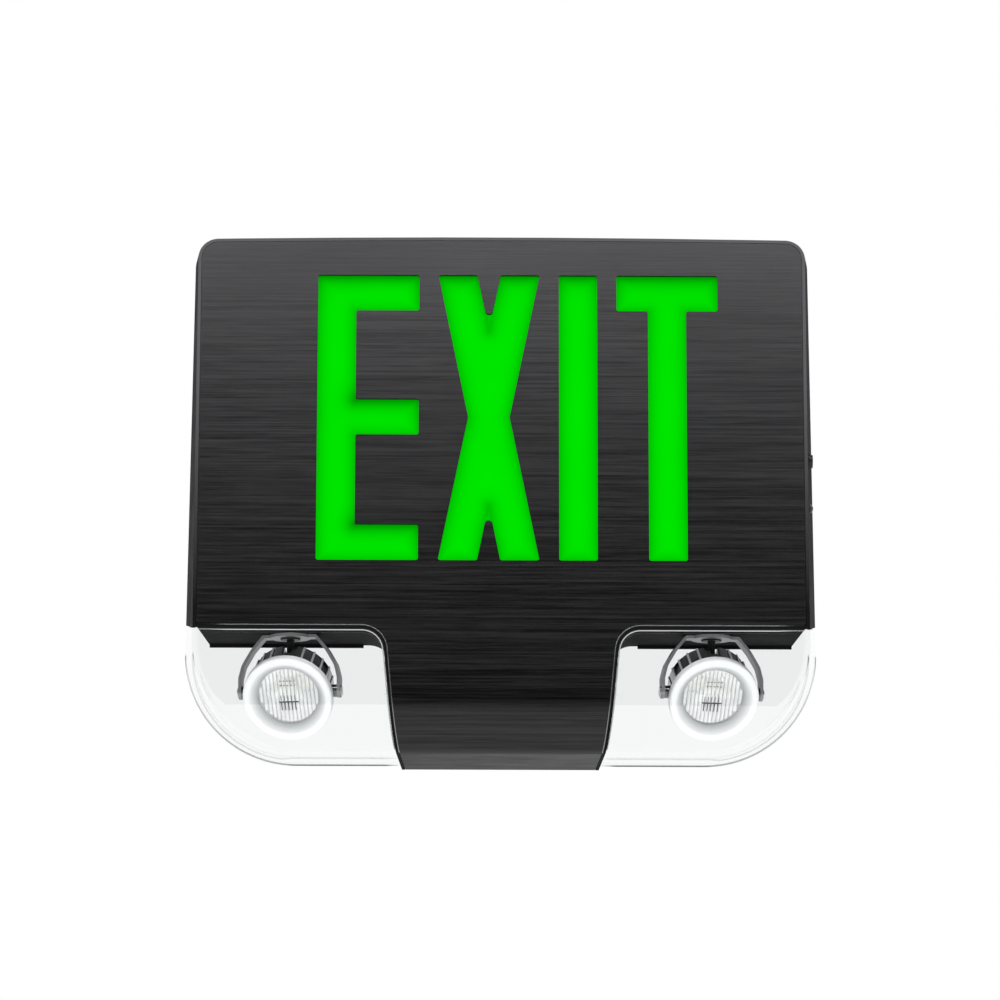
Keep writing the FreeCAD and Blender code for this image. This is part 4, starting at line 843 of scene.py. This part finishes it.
class EXITLIGHT_OT_electronics(bpy.types.Operator):
    """Finish the control board, the battery and what holds them"""

    bl_idname = "exitlight.electronics"
    bl_label = "Electronics and battery"

    def execute(self, context):
        # Hidden inside: each part in the plain colour and gloss of its kind.
        zinc = rolled_steel("zinc_plated_steel", "#b4b5b6", (1, 0.1, 1))
        wear("control_board", circuit_laminate("green_solder_mask", "#1c5a34", "#2f7a48"))
        wear("board_screws", zinc)
        wear("strap_screws", zinc)
        wear("battery_strap", zinc)
        wear("transformer", moulded("varnished_laminations", "#3c3b40", 0.5, 0.35, 0.1))
        wear("relay", moulded("blue_relay_case", "#27497f", 0.3))
        wear("capacitor", moulded("capacitor_sleeve", "#1b1b26", 0.25))
        wear("terminal_block", moulded("green_polyamide", "#3f7f4b", 0.45))
        wear("fuse", moulded("fuse_glass_and_clips", "#c9ccce", 0.15, Metallic=0.6))
        wear("battery_pack", moulded("blue_heat_shrink", "#24549c", 0.3, 2.5, 0.15))
        return {"FINISHED"}


class EXITLIGHT_OT_switch(bpy.types.Operator):
    """Finish the test switch and the charge light"""

    bl_idname = "exitlight.switch"
    bl_label = "Test switch"

    def execute(self, context):
        # Button and tinted light show as small dark dots, a little glossier than the casting.
        wear("test_switch_body", moulded("black_switch_nylon", "#131313", 0.4))
        wear("test_button", moulded("black_button_abs", "#1a1a1b", 0.35))
        wear("indicator_led", moulded("dark_tinted_resin", "#1d2a1f", 0.2))
        return {"FINISHED"}


def plane(name, centre, across, up):
    """Flat rectangle given by its centre and its half sides."""
    c, a, u = (np.array(v, float) for v in (centre, across, up))
    points = np.stack([c - a - u, c + a - u, c + a + u, c - a + u])
    mesh = bpy.data.meshes.new(name)
    mesh.from_pydata(points.tolist(), [], [(0, 1, 2, 3)])
    piece = bpy.data.objects.new(name, mesh)
    bpy.context.scene.collection.objects.link(piece)
    return piece


def soft_box(name, place, aim, width, height, power):
    """Rectangular lamp that the camera doesn't see, turned from its place to its aim."""
    light = bpy.data.lights.new(name, "AREA")
    light.shape = "RECTANGLE"
    light.size, light.size_y, light.energy = width, height, power
    lamp = bpy.data.objects.new(name, light)
    bpy.context.scene.collection.objects.link(lamp)
    lamp.visible_camera = False
    lamp.location = place
    lamp.rotation_mode = "QUATERNION"
    lamp.rotation_quaternion = (Vector(aim) - Vector(place)).to_track_quat("-Z", "Y")
    return lamp


def light_table(stage):
    """Floor that shines as white as the room, so that no edge of it shows."""
    floor = plane("floor", (0, 0, -stage.floor_drop), (12, 0, 0), (0, 12, 0))
    white = (1, 1, 1, 1)
    lit = surface("white_light_table", white, 0.9, Emission_Color=white, Emission_Strength=1.0,
                  Specular_IOR_Level=0.0)[0]
    lit.node_tree.nodes["Principled BSDF"].inputs["Base Color"].default_value = (0, 0, 0, 1)
    floor.data.materials.append(lit)


def studio_room(scene, stage):
    """White room: the camera and clear parts see it white, matt surfaces get its even light, and gloss
    sees it go dark in front of the sign. How dark follows the dot product of the ray with one direction."""
    world = bpy.data.worlds.new("studio")
    scene.world = world
    world.use_nodes = True
    tree = world.node_tree
    light = tree.nodes["Background"]
    path = add(tree, "ShaderNodeLightPath").outputs
    toward = add(tree, "ShaderNodeTexCoord").outputs["Generated"]
    raised = math.radians(33)
    near = add(tree, "ShaderNodeVectorMath", {0: toward}, operation="DOT_PRODUCT")
    near.inputs[1].default_value = (0, -math.cos(raised), math.sin(raised))
    dark_from, dark_to = 0.35, 0.72
    wall = spread(tree, near.outputs["Value"], 1.0, stage.dark_wall, dark_from, dark_to)
    gloss = add(tree, "ShaderNodeMath", {0: wall, 1: path["Is Glossy Ray"]}, operation="MULTIPLY")
    direct = add(tree, "ShaderNodeMath", {0: path["Is Camera Ray"], 1: path["Is Transmission Ray"]},
                 operation="MAXIMUM")
    seen = add(tree, "ShaderNodeMath", {0: gloss.outputs[0], 1: direct.outputs[0]}, operation="MAXIMUM")
    even = add(tree, "ShaderNodeMath", {0: path["Is Diffuse Ray"]}, operation="MULTIPLY")
    even.inputs[1].default_value = stage.ambient
    both = add(tree, "ShaderNodeMath", {0: seen.outputs[0], 1: even.outputs[0]}, operation="MAXIMUM")
    tree.links.new(both.outputs[0], light.inputs["Strength"])
    light.inputs["Color"].default_value = (1, 1, 1, 1)


def long_lens_camera(scene, stage):
    """Camera below the sign that looks up at it from far away, turned a little about its own axis."""
    data = bpy.data.cameras.new("camera")
    data.sensor_width = 36
    data.lens = stage.focal
    data.shift_x, data.shift_y = -0.0013, -0.00225
    data.clip_start, data.clip_end = 0.1, 40
    camera = bpy.data.objects.new("camera", data)
    scene.collection.objects.link(camera)
    rise, turn = stage.elevation, stage.azimuth
    back = Vector((math.sin(turn) * math.cos(rise), -math.cos(turn) * math.cos(rise), math.sin(rise)))
    camera.location = Vector((0, -stage.aim_depth, stage.aim_height)) + back * stage.distance
    camera.rotation_mode = "QUATERNION"
    camera.rotation_quaternion = (-back).to_track_quat("-Z", "Y") @ Quaternion((0, 0, 1), stage.roll)
    scene.camera = camera


class EXITLIGHT_OT_stage(bpy.types.Operator):
    """Make the floor, the room, the soft boxes and the camera"""

    bl_idname = "exitlight.stage"
    bl_label = "Stage"

    def execute(self, context):
        stage = context.scene.exit_stage
        light_table(stage)
        studio_room(context.scene, stage)
        soft_box("key", (0, -0.42, 0.42), (0, 0, 0.08), 1.1, 0.12, stage.soft_box)
        fill = soft_box("fill", (0, -1.3, -1.0), (0, 0, -0.12), 1.6, 0.8, stage.fill)
        fill.visible_glossy = False
        long_lens_camera(context.scene, stage)
        context.scene.view_settings.view_transform = "Standard"
        return {"FINISHED"}


class EXITLIGHT_PT_panel(bpy.types.Panel):
    """Exit light's steps and colours"""

    bl_idname = "EXITLIGHT_PT_panel"
    bl_label = "Exit light"
    bl_space_type = "VIEW_3D"
    bl_region_type = "UI"
    bl_category = "Exit light"

    def draw(self, context):
        for step in STEPS:
            self.layout.operator(step.bl_idname)
        for name in ExitFinishes.__annotations__:
            self.layout.prop(context.scene.exit_finishes, name)


STEPS = (
    EXITLIGHT_OT_housing, EXITLIGHT_OT_legend, EXITLIGHT_OT_covers, EXITLIGHT_OT_hangers, EXITLIGHT_OT_lamps,
    EXITLIGHT_OT_electronics, EXITLIGHT_OT_switch, EXITLIGHT_OT_stage,
)
GROUPS = {"exit_finishes": ExitFinishes, "exit_sizes": ExitSizes, "exit_stage": ExitStage}


def register():
    for group in GROUPS.values():
        bpy.utils.register_class(group)
    for step in (*STEPS, EXITLIGHT_PT_panel):
        bpy.utils.register_class(step)
    for name, group in GROUPS.items():
        setattr(bpy.types.Scene, name, bpy.props.PointerProperty(type=group))


def unregister():
    for name in GROUPS:
        delattr(bpy.types.Scene, name)
    for made in (*STEPS, EXITLIGHT_PT_panel, *GROUPS.values()):
        bpy.utils.unregister_class(made)


def main():
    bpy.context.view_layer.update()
    register()
    for step in STEPS:
        group, name = step.bl_idname.split(".")
        getattr(getattr(bpy.ops, group), name)()


if __name__ == "__main__":
    main()
